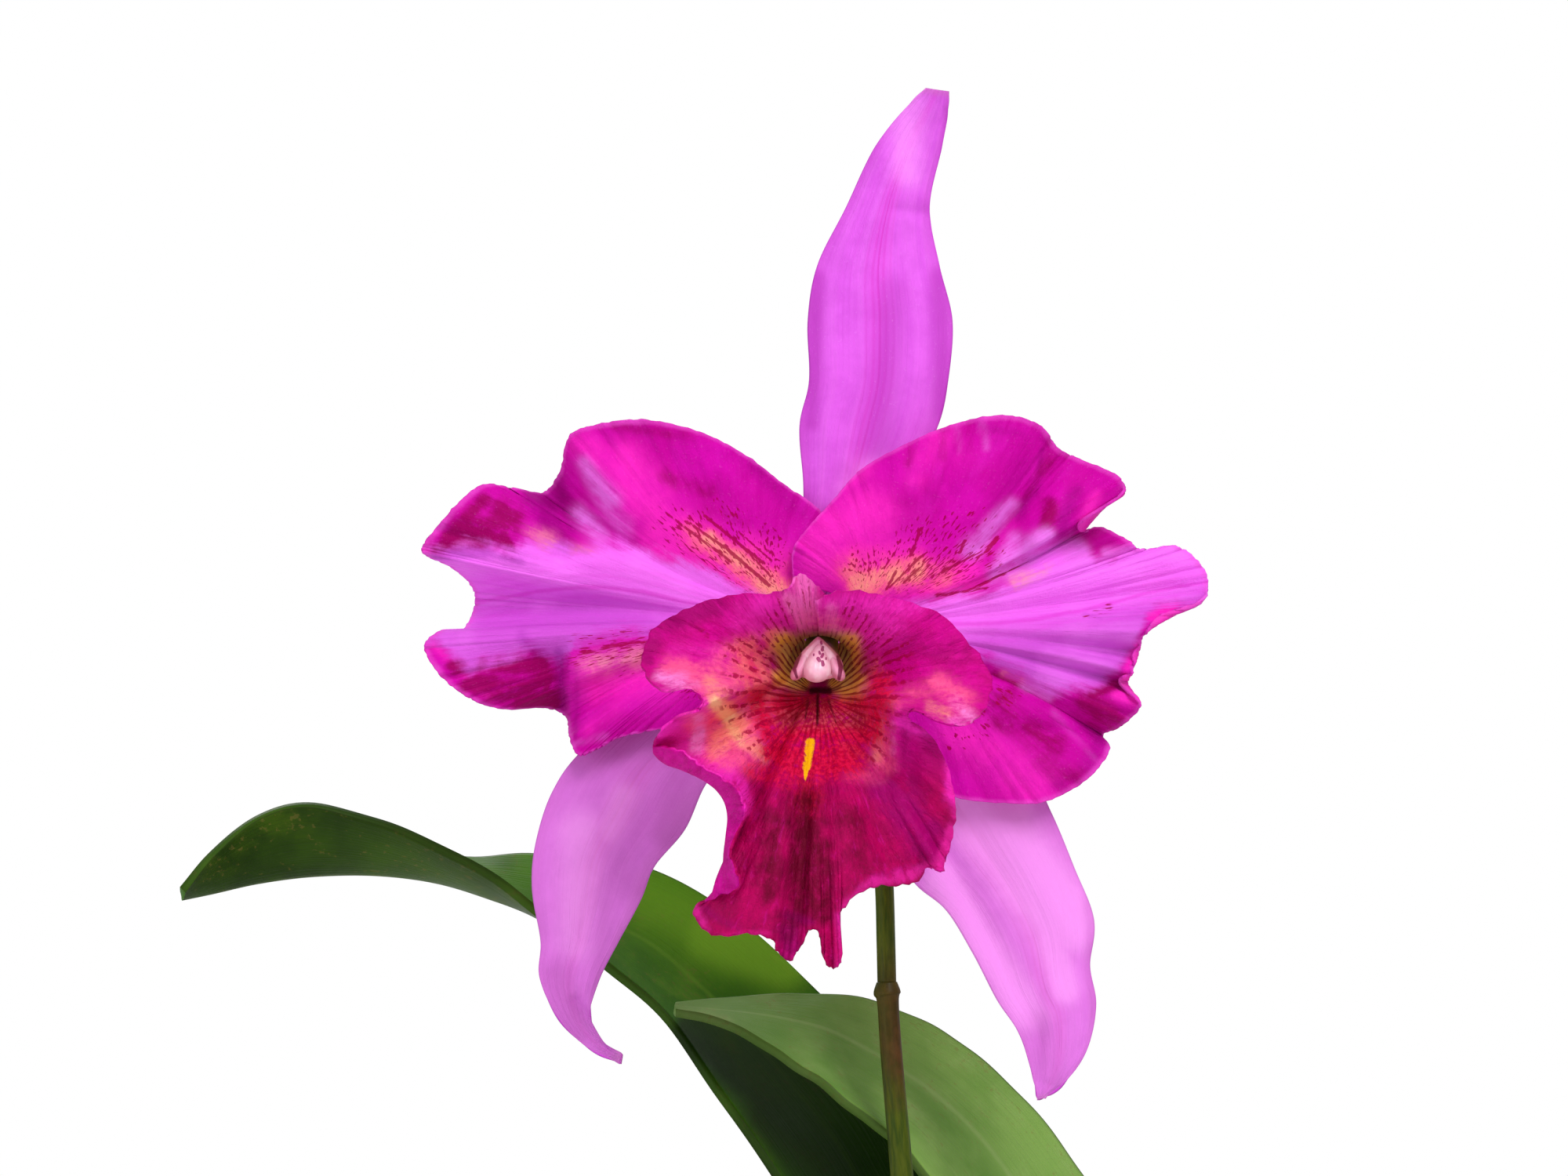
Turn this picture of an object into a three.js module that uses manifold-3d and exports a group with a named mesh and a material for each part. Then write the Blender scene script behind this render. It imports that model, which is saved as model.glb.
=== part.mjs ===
// A flowering laeliocattleya orchid standing in its clay pot.
// Millimetres, +Z up. The origin is the middle of the pot's base and the bloom faces -Y.
import * as THREE from "three";
import { mergeVertices } from "three/addons/utils/BufferGeometryUtils.js";
import Module from "manifold-3d";

const wasm = await Module();
wasm.setup();

// Pot and what fills it
const potHeight = 105;
const potFootRadius = 42;
const potBandRadius = 62.5;
const potBandHeight = 23;
const potFloor = 6;
const potInnerFoot = 36.5;
const potInnerTop = 57;
const drainRadius = 5;
const drainCircle = 22;
const barkTop = 90;
const barkChips = 38;
const fitGap = 0.35;

// The growths: foot and apex of each swollen stem, and its fattest radius
const growths = [
  { foot: [-10, -10, 96.8], apex: [1.2, 1.6, 209.6], fat: 12 },
  { foot: [10, 8, 96.8], apex: [21.4, 25, 216.2], fat: 12 },
  { foot: [28, 24, 96.8], apex: [47, 36, 182], fat: 11 },
  { foot: [-22, 10, 96.8], apex: [-38, 24, 170], fat: 11 },
];
const ribsRound = 7;
const footRadius = 5;

// The bloom
const bloomPlace = [-15, -12, 350];
const tepalThickness = 0.8;
const lipThickness = 0.7;
const petalWaveDepth = 0.6;
const leafThickness = 1.8;

// Flower stem: x, y, z and radius, below and above the node
const peduncleLine = [
  [1.1, -1.2, 210.9, 2.1],
  [0.4, -1.2, 224, 2],
  [-0.4, -0.6, 238, 2],
  [-1.7, 1.6, 257.7, 1.95],
  [-3.4, 3, 277.4, 1.85],
  [-4, 3.8, 286.6, 1.85],
  [-4.15, 3.95, 288.4, 2.3],
  [-4.2, 4, 289.9, 1.9],
];
const pedicelLine = [
  [-4.2, 4, 290.3, 1.6],
  [-4.35, 4.6, 297, 1.6],
  [-4.6, 6, 306.3, 1.6],
  [-5.3, 8, 317, 1.75],
  [-7.6, 10.6, 332.6, 2.1],
  [-10.6, 8.4, 343.6, 2.3],
  [-13.4, 3, 348.8, 2.4],
  [-14.9, -3.4, 350, 2.45],
  [-15, -9, 350, 2.45],
  [-15, -15, 350, 2.45],
];

// Sheath round the foot of the flower stem: x, y, z, half width and half depth inside
const spatheLine = [
  [1.1, -1.2, 211.6, 2.9, 2.8],
  [0.8, -1.2, 217, 5, 3],
  [0.4, -1.2, 225, 6.6, 3.1],
  [-0.1, -0.9, 235, 6.2, 3.1],
  [-0.7, 0, 244, 4.2, 2.9],
  [-1, 0.6, 249, 3.1, 2.8],
];
const spatheWall = 0.8;

// Sepals, from the middle of the bloom to the tip, along both edges
const dorsalLeft = [
  [-2.6, 4, 3.1], [-3.2, 4.3, 14], [-3.3, 4.8, 24], [-3.9, 5, 33.5], [-2.3, 5, 41], [-2.5, 5, 51],
  [-1, 5, 60], [4, 4.5, 70], [8.8, 3.5, 80], [14, 1.5, 86.5], [17, 0.5, 89.4],
];
const dorsalRight = [
  [2.8, 4, 3.1], [7.5, 4.3, 14], [13.5, 4.8, 24], [18.9, 5, 33], [20.8, 5, 41], [21.5, 5, 51],
  [19.4, 5, 60], [17.7, 4, 70], [19.8, 2.5, 80], [20.7, 1, 85.5], [20.8, 0, 88.8],
];
const lateralLeftOuter = [
  [-3.6, 4, -0.6], [-14, 4, -3], [-28, 4, -10], [-40, 3, -20.5], [-44.9, 2, -27.3],
  [-47.6, 1, -35.5], [-48.2, 0, -43], [-46.8, 0, -52], [-47, -1, -58], [-43.9, -2, -64.7],
  [-39, -3, -69.5], [-33.5, -6, -72],
];
const lateralLeftInner = [
  [-1, 4, -3.6], [-7, 4, -12], [-14.5, 4, -20.5], [-19.5, 3, -26], [-23, 2, -33.5],
  [-28, 1, -39.7], [-30.3, 0, -45.2], [-34, 1, -52], [-37.3, 1, -58.5], [-38.6, 0, -64],
  [-36.8, -2, -68.3], [-33.2, -5.5, -70.3],
];
const lateralRightInner = [
  [0.8, 4, -3.6], [2.5, 4, -13], [6.5, 4, -25], [11, 4, -36], [15.3, 4, -42.6], [20.5, 3, -47],
  [24.8, 2, -54], [28.9, 1, -61.8], [32.3, 0, -67], [34.2, -1, -72.5], [35, -2, -76],
  [35.4, -3, -78.2],
];
const lateralRightOuter = [
  [3.6, 4, -0.8], [13, 4, -5], [24, 4, -13], [33.5, 4, -22.5], [38, 3.5, -31], [41.7, 3, -40],
  [44.9, 2, -48.5], [44.2, 1, -56], [45.2, 0, -62.5], [43.7, -1, -69.8], [40, -2, -75.3],
  [36.6, -3, -77.8],
];

// Waved margins of the petals, round from one side of the claw to the other
const petalLeftMargin = [
  [-13, 2, -13], [-22.1, 0, -16.3], [-27.3, -2, -16.9], [-33.8, -3, -18.2], [-37.7, -3, -20.2],
  [-40.6, -2, -21.1], [-42, 2, -18.2], [-42.8, 6, -15], [-46.8, 5, -13.4], [-53.3, 0, -13.5],
  [-58.5, -3, -11.7], [-63, -4, -8.2], [-65.9, -5, -3.3], [-63.3, -2, -0.7], [-59.8, 4, -0.5],
  [-58.1, 9, 3.9], [-58.8, 8, 7.2], [-61.8, 3, 10.1], [-65.7, -1, 12], [-66.2, -2, 13.7],
  [-61.8, -3, 18.9], [-56.9, -2, 23.4], [-52, 1, 23.1], [-46.8, 5, 22.4], [-43.6, 2, 26],
  [-41.9, -3, 31.5], [-36.4, -5, 33.7], [-28.6, -5, 34.2], [-20.2, -3, 32.2], [-13, -1, 28.6],
  [-6.5, 1, 23.7], [-0.5, 2, 19.2], [1.3, 2, 13],
];
const petalRightMargin = [
  [-4.9, -1, 7.2], [-5.1, -3, 12.4], [-3.3, -4, 15.6], [2, -4, 21.5], [6.5, -4, 26.3],
  [14.3, -5, 30.6], [22.1, -6, 33.7], [29.9, -6, 35], [35.8, -4, 33.4], [38.7, -1, 29.9],
  [42.3, 2, 28], [48.8, -2, 25], [49.4, -4, 22.1], [46.8, 1, 20.2], [43.4, 6, 16.1],
  [46.2, 3, 16.5], [50.7, 0, 14.3], [52.7, 2, 12.9], [58.5, 3, 13.4], [62.1, 3, 11.2],
  [64, 4, 7.8], [62.7, 3, 4.2], [57.9, 0, 2], [53.3, -3, -0.8], [52, 1, -4.6], [51.1, -3, -7.2],
  [50.3, 1, -9.4], [52.3, -3, -13], [49.4, 0, -16.3], [46.5, 4, -17.9], [47.5, 1, -20.5],
  [43.6, -2, -25.1], [37.1, -3, -28.7], [30.6, -3, -29.1], [21.5, -2, -28], [13, 0, -23.4],
  [6.5, 1, -13],
];

// Frilled margin of the lip, from the right edge of its slit round to the left edge
const lipMargin = [
  [-1.6, -36, 4.5], [2.1, -35, 6.1], [6.1, -33, 6], [12.4, -31, 4.6], [18.8, -30, 2.5],
  [23.9, -29, -3], [27.1, -30, -7.7], [26.6, -34, -11.1], [25.1, -38, -13.8], [21.6, -41, -15.6],
  [18, -41.5, -14.8], [14.8, -41, -13], [13.2, -38, -13.2], [13.8, -34.8, -15], [16.8, -33, -16.8],
  [19.7, -34, -21.8], [21.2, -33, -28.2], [20.9, -30, -32.7], [19.5, -28, -37.8],
  [18.8, -31, -39.3], [17, -27, -38.2], [14.8, -28, -41.2], [11.2, -30, -41.5],
  [7.4, -33, -41.4], [3.6, -35, -43.6], [2, -36, -46.9], [2.9, -35, -52.9], [1.6, -33, -55],
  [-0.2, -34, -53.3], [-0.7, -37, -48.7], [-2.5, -38, -47.9], [-3.7, -36, -50.7],
  [-5.5, -33, -53.7], [-7.5, -34, -52.1], [-8.4, -37, -49.4], [-12.8, -38, -48.7],
  [-17.5, -37, -49.5], [-20.6, -34, -47.1], [-21, -33, -44.5], [-17.2, -38, -42.8],
  [-13.2, -43, -41.2], [-14, -44, -38.4], [-15.2, -42, -35.7], [-14.2, -40, -33],
  [-12.8, -40.6, -30.4], [-12.8, -43, -28], [-14, -44, -25.1], [-17.1, -42, -23.2],
  [-19.9, -40, -23], [-23.5, -35, -22.4], [-28, -31, -21.5], [-28.3, -33, -19.3],
  [-26.3, -38, -16.3], [-23.4, -41, -13.8], [-19.9, -42, -13], [-19.5, -40, -11.3],
  [-21.5, -42, -9.1], [-25.9, -40, -10.3], [-28.9, -34, -7.6], [-29.6, -31, -4.6],
  [-27.8, -29, -0.1], [-24, -29, 2.2], [-19.8, -30, 4.2], [-14.1, -31, 5.6], [-8.4, -32, 5.6],
  [-5.5, -33, 6.5], [-4.2, -32, 9.1], [-2.1, -32, 7.8], [0.1, -32, 5.4],
];

// The lip's tube round the column: depth, middle across, middle up, radii across and up
const lipTube = [
  [-3.6, 0, 0, 3.9, 3.9],
  [-9, -0.3, -3.2, 4.7, 4.6],
  [-15, -0.6, -6.3, 5.6, 5.2],
];
const lipSlitStart = 84;
const lipSlitEnd = -264;

// Column: depth, middle across, middle up, half width, half height, narrowing of the top
const columnLine = [
  [-3.3, 0, 0, 2.8, 2.6, 0],
  [-7, -0.1, -1.2, 2.6, 2.2, 0],
  [-11, -0.3, -2.6, 2.7, 2, 0],
  [-15, -0.5, -4, 2.9, 1.9, 0.1],
  [-19, -0.8, -4.8, 3.4, 2.4, 0.25],
  [-22.4, -1, -4.9, 4.1, 3.5, 0.35],
  [-24.2, -1, -5.1, 3.8, 3.4, 0.35],
];
const antherPlace = [-1, -26.5, -6.2];
const antherRadii = [2.3, 1.8, 2.2];

// Leaves, from foot to tip: near edge, rib and far edge
const leafOneNear = [
  [-3.4, 3, 211.3], [-6.7, 9, 229], [-13.9, 14, 242.7], [-22.8, 20, 256.1], [-32.2, 24, 269.2],
  [-41.7, 28, 282.4], [-52.6, 30, 291.7], [-61.3, 30, 298.7], [-70.2, 31, 305.8],
  [-81, 31, 311.9], [-91.8, 31, 316.4], [-102.6, 31, 319.1], [-112.1, 32, 317],
  [-120.3, 33, 310.5], [-125.5, 35, 304.3],
];
const leafOneRib = [
  [1.4, 6, 211.3], [0.8, 20, 229.4], [-3.9, 30, 243.1], [-12.3, 38, 259.3], [-23.6, 44, 273.1],
  [-35.2, 47, 285.2], [-46.9, 48, 294.8], [-59.2, 47, 298.7], [-70.8, 45, 302.3],
  [-81.7, 44, 305.6], [-92.5, 43, 307.1], [-103.4, 42, 307], [-112.9, 41, 305.8],
  [-121, 40, 304], [-126, 38, 303],
];
const leafOneFar = [
  [6, 4, 211.3], [9.5, 26, 235], [7.2, 42, 251.4], [-0.9, 50, 269.2], [-13.9, 56, 283.3],
  [-26.3, 58, 294.9], [-39.5, 60, 303.8], [-53.4, 62, 308.2], [-65.9, 62, 309],
  [-77, 60, 308.5], [-90.7, 58, 310.1], [-101.6, 56, 311.6], [-112.4, 52, 311.1],
  [-120.8, 46, 307.2], [-126.3, 40.5, 303.8],
];
const leafTwoNear = [
  [18, 23.4, 217.6], [17.4, 16, 231.1], [13.3, 10, 242.2], [7, 8, 251.2], [0.9, 8, 258.8],
  [-4.8, 8, 264.6], [-10, 9, 268.5], [-15.8, 10, 273.1], [-21.5, 12, 276.9], [-27.2, 14, 280.2],
  [-33.1, 17, 282.8], [-40, 20, 284],
];
const leafTwoRib = [
  [22, 26.6, 217.6], [23.7, 29, 227.8], [23.3, 30, 239.8], [19, 30, 251.3], [12.2, 29, 261.1],
  [4.1, 28, 269], [-5.4, 27, 275.5], [-13.4, 26, 279.8], [-20.2, 25, 281.8], [-26.9, 24, 283],
  [-33.6, 22.5, 283.8], [-40.3, 21.5, 284.5],
];
const leafTwoFar = [
  [25.2, 25.4, 217.6], [32.4, 36, 230], [35.9, 44, 240.3], [33.6, 46, 248.3], [27.8, 46, 257.2],
  [19.6, 45, 267.3], [11.1, 43, 275.4], [3, 41, 280.5], [-6.7, 38, 284.8], [-18.8, 34, 285.8],
  [-31, 28, 285.6], [-40.1, 23, 285],
];
const leafThreeSpine = [
  [47, 36, 183.4], [53, 38, 198], [62, 42, 212], [88, 50, 232], [120, 56, 236], [150, 58, 224],
  [172, 58, 204],
];
const leafThreeWidths = [3.4, 8, 14, 20, 20, 13, 1];
const leafFourSpine = [
  [-38, 24, 171.4], [-42, 29, 186], [-48, 36, 200], [-62, 60, 224], [-74, 90, 232],
  [-82, 118, 222], [-86, 140, 202],
];
const leafFourWidths = [3.4, 8, 13, 19, 19, 12, 1];

// Roots: x, y, z and radius along each
const roots = [
  [[-14, -12, 93, 2], [-26, -25, 95.5, 2], [-38, -37, 103, 1.9], [-41.5, -41, 108.4, 1.8],
    [-46.6, -46.6, 107.6, 1.7], [-49.4, -49.8, 97, 1.6], [-48.6, -49.4, 80, 1.2]],
  [[-6, -8, 93, 2], [-2, -24, 94.5, 2], [8, -38, 94.5, 1.9], [16, -44, 88, 1.7]],
  [[6, 2, 93, 2], [22, -8, 95, 2], [38, -14, 96, 1.9], [48, -14, 88, 1.7]],
  [[-12, -10, 93, 2], [-32, -9, 95.5, 2], [-46, 2, 93, 1.9], [-48, 6, 86, 1.7]],
  [[20, 18, 93, 2], [14, 34, 95, 2], [4, 46, 93, 1.9], [0, 50, 86, 1.7]],
  [[30, 26, 93, 2], [44, 18, 96, 2], [54, 14, 105, 1.9], [58, 13.5, 109, 1.8],
    [65, 12.5, 106.5, 1.7], [67.5, 12, 96, 1.6], [66.5, 12, 84, 1.2]],
];

// Materials, one for each kind of surface
function surface(color, roughness) {
  return new THREE.MeshStandardMaterial({ color, roughness, metalness: 0 });
}
const looks = {
  clay: () => surface(0xb4623c, 0.9),
  bark: () => surface(0x6b432a, 0.95),
  root: () => surface(0xcfcab4, 0.8),
  bulb: () => surface(0x8aa04c, 0.55),
  leaf: () => surface(0x4d7a26, 0.45),
  stem: () => surface(0x4a5212, 0.5),
  husk: () => surface(0xb5a97c, 0.7),
  sepal: () => surface(0xd45fe0, 0.55),
  petal: () => surface(0xc414a0, 0.55),
  lip: () => surface(0xb8087c, 0.55),
  column: () => surface(0xf0cfe2, 0.45),
};

function vec(p) {
  return new THREE.Vector3(p[0], p[1], p[2]);
}

function spline(points) {
  return new THREE.CatmullRomCurve3(points.map(vec), false, "catmullrom", 0.5);
}

// A row of points with its small waves ironed out, its two ends kept
function smoothed(points, passes) {
  let row = points.map((p) => [...p]);
  for (let pass = 0; pass < passes; pass += 1) {
    const next = row.map((p) => [...p]);
    for (let i = 1; i < row.length - 1; i += 1) {
      for (let k = 0; k < 3; k += 1) {
        next[i][k] = (row[i - 1][k] + 2 * row[i][k] + row[i + 1][k]) / 4;
      }
    }
    row = next;
  }
  return row;
}

function signedVolume(points, faces) {
  let six = 0;
  for (const [a, b, c] of faces) {
    six += points[a].dot(new THREE.Vector3().crossVectors(points[b], points[c]));
  }
  return six / 6;
}

// A closed solid from corner points and triangles, turned to face outward
function solid(points, faces) {
  const outward = signedVolume(points, faces) > 0;
  const geometry = new THREE.BufferGeometry();
  geometry.setAttribute("position", new THREE.Float32BufferAttribute(
    points.flatMap((p) => [p.x, p.y, p.z]), 3));
  geometry.setIndex(faces.flatMap(([a, b, c]) => (outward ? [a, b, c] : [a, c, b])));
  return geometry;
}

// Closed rings of equal length joined one after another, with both ends capped
function loft(rings) {
  const sides = rings[0].length;
  const points = rings.flat();
  const faces = [];
  for (let i = 0; i + 1 < rings.length; i += 1) {
    for (let j = 0; j < sides; j += 1) {
      const a = i * sides + j;
      const b = i * sides + ((j + 1) % sides);
      faces.push([a, b, b + sides]);
      faces.push([a, b + sides, a + sides]);
    }
  }
  for (const end of [0, rings.length - 1]) {
    const middle = new THREE.Vector3();
    rings[end].forEach((p) => middle.add(p));
    points.push(middle.divideScalar(sides));
    const hub = points.length - 1;
    for (let j = 0; j < sides; j += 1) {
      const a = end * sides + j;
      const b = end * sides + ((j + 1) % sides);
      faces.push(end === 0 ? [hub, b, a] : [hub, a, b]);
    }
  }
  return solid(points, faces);
}

// A round stem of changing girth along stations of x, y, z and radius, grown all over by swell
function tapered(stations, sides, steps, swell = 0, ribs = 0) {
  const path = spline(stations);
  const girth = spline(stations.map((s) => [s[3], 0, 0]));
  const rings = [];
  let side = null;
  for (let i = 0; i <= steps; i += 1) {
    const t = i / steps;
    const along = path.getTangent(t);
    const middle = path.getPoint(t);
    middle.addScaledVector(along, i === 0 ? -swell : 0);
    middle.addScaledVector(along, i === steps ? swell : 0);
    side = side ?? new THREE.Vector3(0, 1, 0).cross(along);
    side.addScaledVector(along, -side.dot(along)).normalize();
    const up = new THREE.Vector3().crossVectors(along, side);
    const radius = girth.getPoint(t).x + swell;
    const ring = [];
    for (let j = 0; j < sides; j += 1) {
      const angle = (2 * Math.PI * j) / sides;
      const reach = radius * (1 + (ribs ? 0.06 * Math.cos(ribs * angle) : 0));
      ring.push(middle.clone()
        .addScaledVector(side, reach * Math.cos(angle))
        .addScaledVector(up, reach * Math.sin(angle)));
    }
    rings.push(ring);
  }
  return loft(rings);
}

// A thin blade: a grid of points given thickness, split alike on both faces
function sheet(grid, thickness) {
  const rows = grid.length;
  const cols = grid[0].length;
  const facing = grid.map((row, i) => row.map((p, j) => {
    const along = grid[Math.min(i + 1, rows - 1)][j].clone().sub(grid[Math.max(i - 1, 0)][j]);
    const across = row[Math.min(j + 1, cols - 1)].clone().sub(row[Math.max(j - 1, 0)]);
    return across.cross(along).normalize();
  }));
  const front = [];
  const back = [];
  for (let i = 0; i < rows; i += 1) {
    for (let j = 0; j < cols; j += 1) {
      const normal = facing[i][j].clone().multiplyScalar(1.2)
        .add(facing[Math.min(i + 1, rows - 1)][j])
        .add(facing[Math.max(i - 1, 0)][j])
        .normalize();
      front.push(grid[i][j].clone().addScaledVector(normal, thickness / 2));
      back.push(grid[i][j].clone().addScaledVector(normal, -thickness / 2));
    }
  }
  const points = front.concat(back);
  const other = rows * cols;
  const faces = [];
  for (let i = 0; i + 1 < rows; i += 1) {
    for (let j = 0; j + 1 < cols; j += 1) {
      const a = i * cols + j;
      const b = a + 1;
      const c = a + cols + 1;
      const d = a + cols;
      faces.push([a, b, c], [a, c, d]);
      faces.push([other + a, other + c, other + b], [other + a, other + d, other + c]);
    }
  }
  const rim = [];
  for (let j = 0; j < cols - 1; j += 1) {
    rim.push(j);
  }
  for (let i = 0; i < rows - 1; i += 1) {
    rim.push(i * cols + cols - 1);
  }
  for (let j = cols - 1; j > 0; j -= 1) {
    rim.push((rows - 1) * cols + j);
  }
  for (let i = rows - 1; i > 0; i -= 1) {
    rim.push(i * cols);
  }
  for (let k = 0; k < rim.length; k += 1) {
    const a = rim[k];
    const b = rim[(k + 1) % rim.length];
    faces.push([a, other + a, other + b], [a, other + b, b]);
  }
  return solid(points, faces);
}

// The grid of a blade that runs between two edges, bent over a middle line
function bladeGrid(left, middle, right, rows, cols, sharpness) {
  const lines = [left, middle, right].map(spline);
  const grid = [];
  for (let i = 0; i <= rows; i += 1) {
    const [l, m, r] = lines.map((line) => line.getPoint(i / rows));
    const row = [];
    for (let j = 0; j <= cols; j += 1) {
      const v = -1 + (2 * j) / cols;
      const mean = l.clone().add(r).multiplyScalar(0.5).sub(m);
      row.push(m.clone()
        .addScaledVector(r.clone().sub(l), v / 2)
        .addScaledVector(mean, Math.abs(v) ** sharpness));
    }
    grid.push(row);
  }
  return grid;
}

// The middle line of a sepal, bowed toward the viewer between its ends
function bowed(left, right, bow) {
  return left.map((p, i) => {
    const lift = bow * Math.sin((Math.PI * i) / (left.length - 1)) ** 1.5;
    return [
      (p[0] + right[i][0]) / 2,
      (p[1] + right[i][1]) / 2 - lift,
      (p[2] + right[i][2]) / 2,
    ];
  });
}

// The two edges of a leaf from its spine, its half widths and how far it is folded up
function leafEdges(spine, widths, fold) {
  const path = spline(spine);
  const near = [];
  const far = [];
  spine.forEach((p, i) => {
    const along = path.getTangent(i / (spine.length - 1));
    const flat = new THREE.Vector3(0, 0, 1).cross(along);
    const facing = i === 0 ? new THREE.Vector3(-along.y, along.x, 0) : flat;
    const side = facing.normalize();
    const up = new THREE.Vector3().crossVectors(along, side);
    for (const [edge, way] of [[near, 1], [far, -1]]) {
      const place = vec(p)
        .addScaledVector(side, way * widths[i] * Math.cos(fold))
        .addScaledVector(up, widths[i] * Math.sin(fold));
      edge.push([place.x, place.y, place.z]);
    }
  });
  return [near, far];
}

// The grid of a petal: lines leave the claw together and spread to the waved margin
function petalGrid(margin, claw, cols, rows) {
  const waved = spline(margin);
  const calm = spline(smoothed(margin, 8));
  const level = spline(smoothed(margin, 40));
  const base = vec(claw.base);
  const grid = [];
  for (let i = 0; i <= cols; i += 1) {
    const t = i / cols;
    const side = claw.firstSide * (1 - 2 * t);
    const goal = calm.getPoint(t);
    goal.y = level.getPoint(t).y;
    const wave = waved.getPoint(t).sub(goal);
    wave.y *= petalWaveDepth;
    const reach = 0.35 * Math.hypot(goal.x - base.x, goal.z - base.z);
    const start = [base.x - side * claw.half * claw.way[1], base.z + side * claw.half * claw.way[0]];
    const bend = [
      base.x + reach * claw.way[0] - 1.4 * side * claw.half * claw.way[1],
      base.z + reach * claw.way[1] + 1.4 * side * claw.half * claw.way[0],
    ];
    const row = [];
    for (let j = 0; j <= rows; j += 1) {
      const r = j / rows;
      const late = r ** 3;
      const w = [(1 - r) ** 2, 2 * r * (1 - r), r ** 2];
      row.push(new THREE.Vector3(
        w[0] * start[0] + w[1] * bend[0] + w[2] * goal.x + late * wave.x,
        base.y + (goal.y - base.y) * r ** 1.5 + late * r * wave.y - claw.bulge * Math.sin(Math.PI * r),
        w[0] * start[1] + w[1] * bend[1] + w[2] * goal.z + late * wave.z,
      ));
    }
    grid.push(row);
  }
  return grid;
}

// The angles at which the lip's lines leave its throat, in step with its margin
function throatAngles(count) {
  const [, middleX, middleZ] = lipTube[lipTube.length - 1];
  const calm = spline(smoothed(lipMargin, 30));
  const angles = [];
  for (let i = 0; i <= count; i += 1) {
    const p = calm.getPoint(i / count);
    let angle = Math.atan2(p.z - middleZ, p.x - middleX);
    while (i > 0 && angle > angles[i - 1] + Math.PI / 2) {
      angle -= 2 * Math.PI;
    }
    angles.push(i > 0 ? Math.min(angle, angles[i - 1] - 0.004) : angle);
  }
  const first = angles[0];
  const last = angles[count];
  const from = THREE.MathUtils.degToRad(lipSlitStart);
  const to = THREE.MathUtils.degToRad(lipSlitEnd);
  return angles.map((a) => from + ((a - first) * (to - from)) / (last - first));
}

// The grid of the lip: a slit tube that opens into the frilled side lobes and middle lobe
function lipGrid(cols, rows) {
  const waved = spline(smoothed(lipMargin, 1));
  const calm = spline(smoothed(lipMargin, 8));
  const angles = throatAngles(cols);
  const grid = [];
  for (let i = 0; i <= cols; i += 1) {
    const t = i / cols;
    const row = lipTube.map(([y, x, z, wide, high]) => new THREE.Vector3(
      x + wide * Math.cos(angles[i]), y, z + high * Math.sin(angles[i])));
    const ring = row[row.length - 1];
    const goal = calm.getPoint(t);
    const wave = waved.getPoint(t).sub(goal);
    const low = Math.max(0, -Math.sin(angles[i]));
    for (let j = 1; j <= rows; j += 1) {
      const r = j / rows;
      const late = r ** 4;
      const flare = 1 - (1 - r) ** 2.2;
      const p = new THREE.Vector3(
        ring.x + (goal.x - ring.x) * r,
        ring.y + (goal.y - ring.y) * flare - 4 * low ** 2 * Math.sin(Math.PI * r),
        ring.z + (goal.z - ring.z) * r,
      );
      row.push(p.addScaledVector(wave, late));
    }
    grid.push(row);
  }
  return grid;
}

// Solids for joining and cutting
function toSolid(geometry) {
  const bare = geometry.clone();
  bare.deleteAttribute("normal");
  bare.deleteAttribute("uv");
  const merged = mergeVertices(bare, 1e-4);
  const triVerts = new Uint32Array(merged.index.array);
  const vertProperties = new Float32Array(merged.attributes.position.array);
  return new wasm.Manifold(new wasm.Mesh({ numProp: 3, vertProperties, triVerts }));
}

function fromSolid(body) {
  const mesh = body.getMesh();
  const geometry = new THREE.BufferGeometry();
  geometry.setAttribute("position", new THREE.Float32BufferAttribute(mesh.vertProperties, 3));
  geometry.setIndex([...mesh.triVerts]);
  return geometry;
}

function upright(radius, low, high, x, y, sides = 12) {
  const post = new THREE.CylinderGeometry(radius, radius, high - low, sides);
  post.rotateX(Math.PI / 2);
  post.translate(x, y, (low + high) / 2);
  return post;
}

function lathe(profile, segments) {
  const turned = new THREE.LatheGeometry(profile.map(([r, z]) => new THREE.Vector2(r, z)), segments);
  turned.rotateX(Math.PI / 2);
  return turned;
}

// Even, repeatable scatter
let scatterState = 7;
function scatter(low, high) {
  scatterState = (scatterState * 48271) % 2147483647;
  return low + ((high - low) * scatterState) / 2147483647;
}

const group = new THREE.Group();

function place(name, geometry, look, parent = group) {
  const mesh = new THREE.Mesh(geometry, look());
  mesh.name = name;
  parent.add(mesh);
  return mesh;
}

// Pot: a turned body with a thick band at the top, and holes in its floor
const bandFoot = potHeight - potBandHeight;
const potProfile = [
  [0, 0], [potFootRadius - 1.5, 0], [potFootRadius, 1.5],
  [57.4, bandFoot], [potBandRadius - 1.2, bandFoot + 0.8], [potBandRadius, bandFoot + 2.5],
  [potBandRadius + 0.4, potHeight - 4], [potBandRadius - 0.6, potHeight - 1],
  [potBandRadius - 2.6, potHeight], [potInnerTop + 1.4, potHeight - 0.4],
  [potInnerTop, potHeight - 2.5], [potInnerFoot + 1.8, potFloor + 1.5],
  [potInnerFoot - 0.5, potFloor], [0, potFloor],
];
let potBody = toSolid(lathe(potProfile, 36));
for (let k = 0; k < 4; k += 1) {
  const angle = Math.PI / 4 + (k * Math.PI) / 2;
  const [x, y] = [drainCircle * Math.cos(angle), drainCircle * Math.sin(angle)];
  potBody = potBody.subtract(toSolid(upright(drainRadius, -4, potFloor + 4, x, y, 10)));
}
place("pot", fromSolid(potBody), looks.clay);

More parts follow.
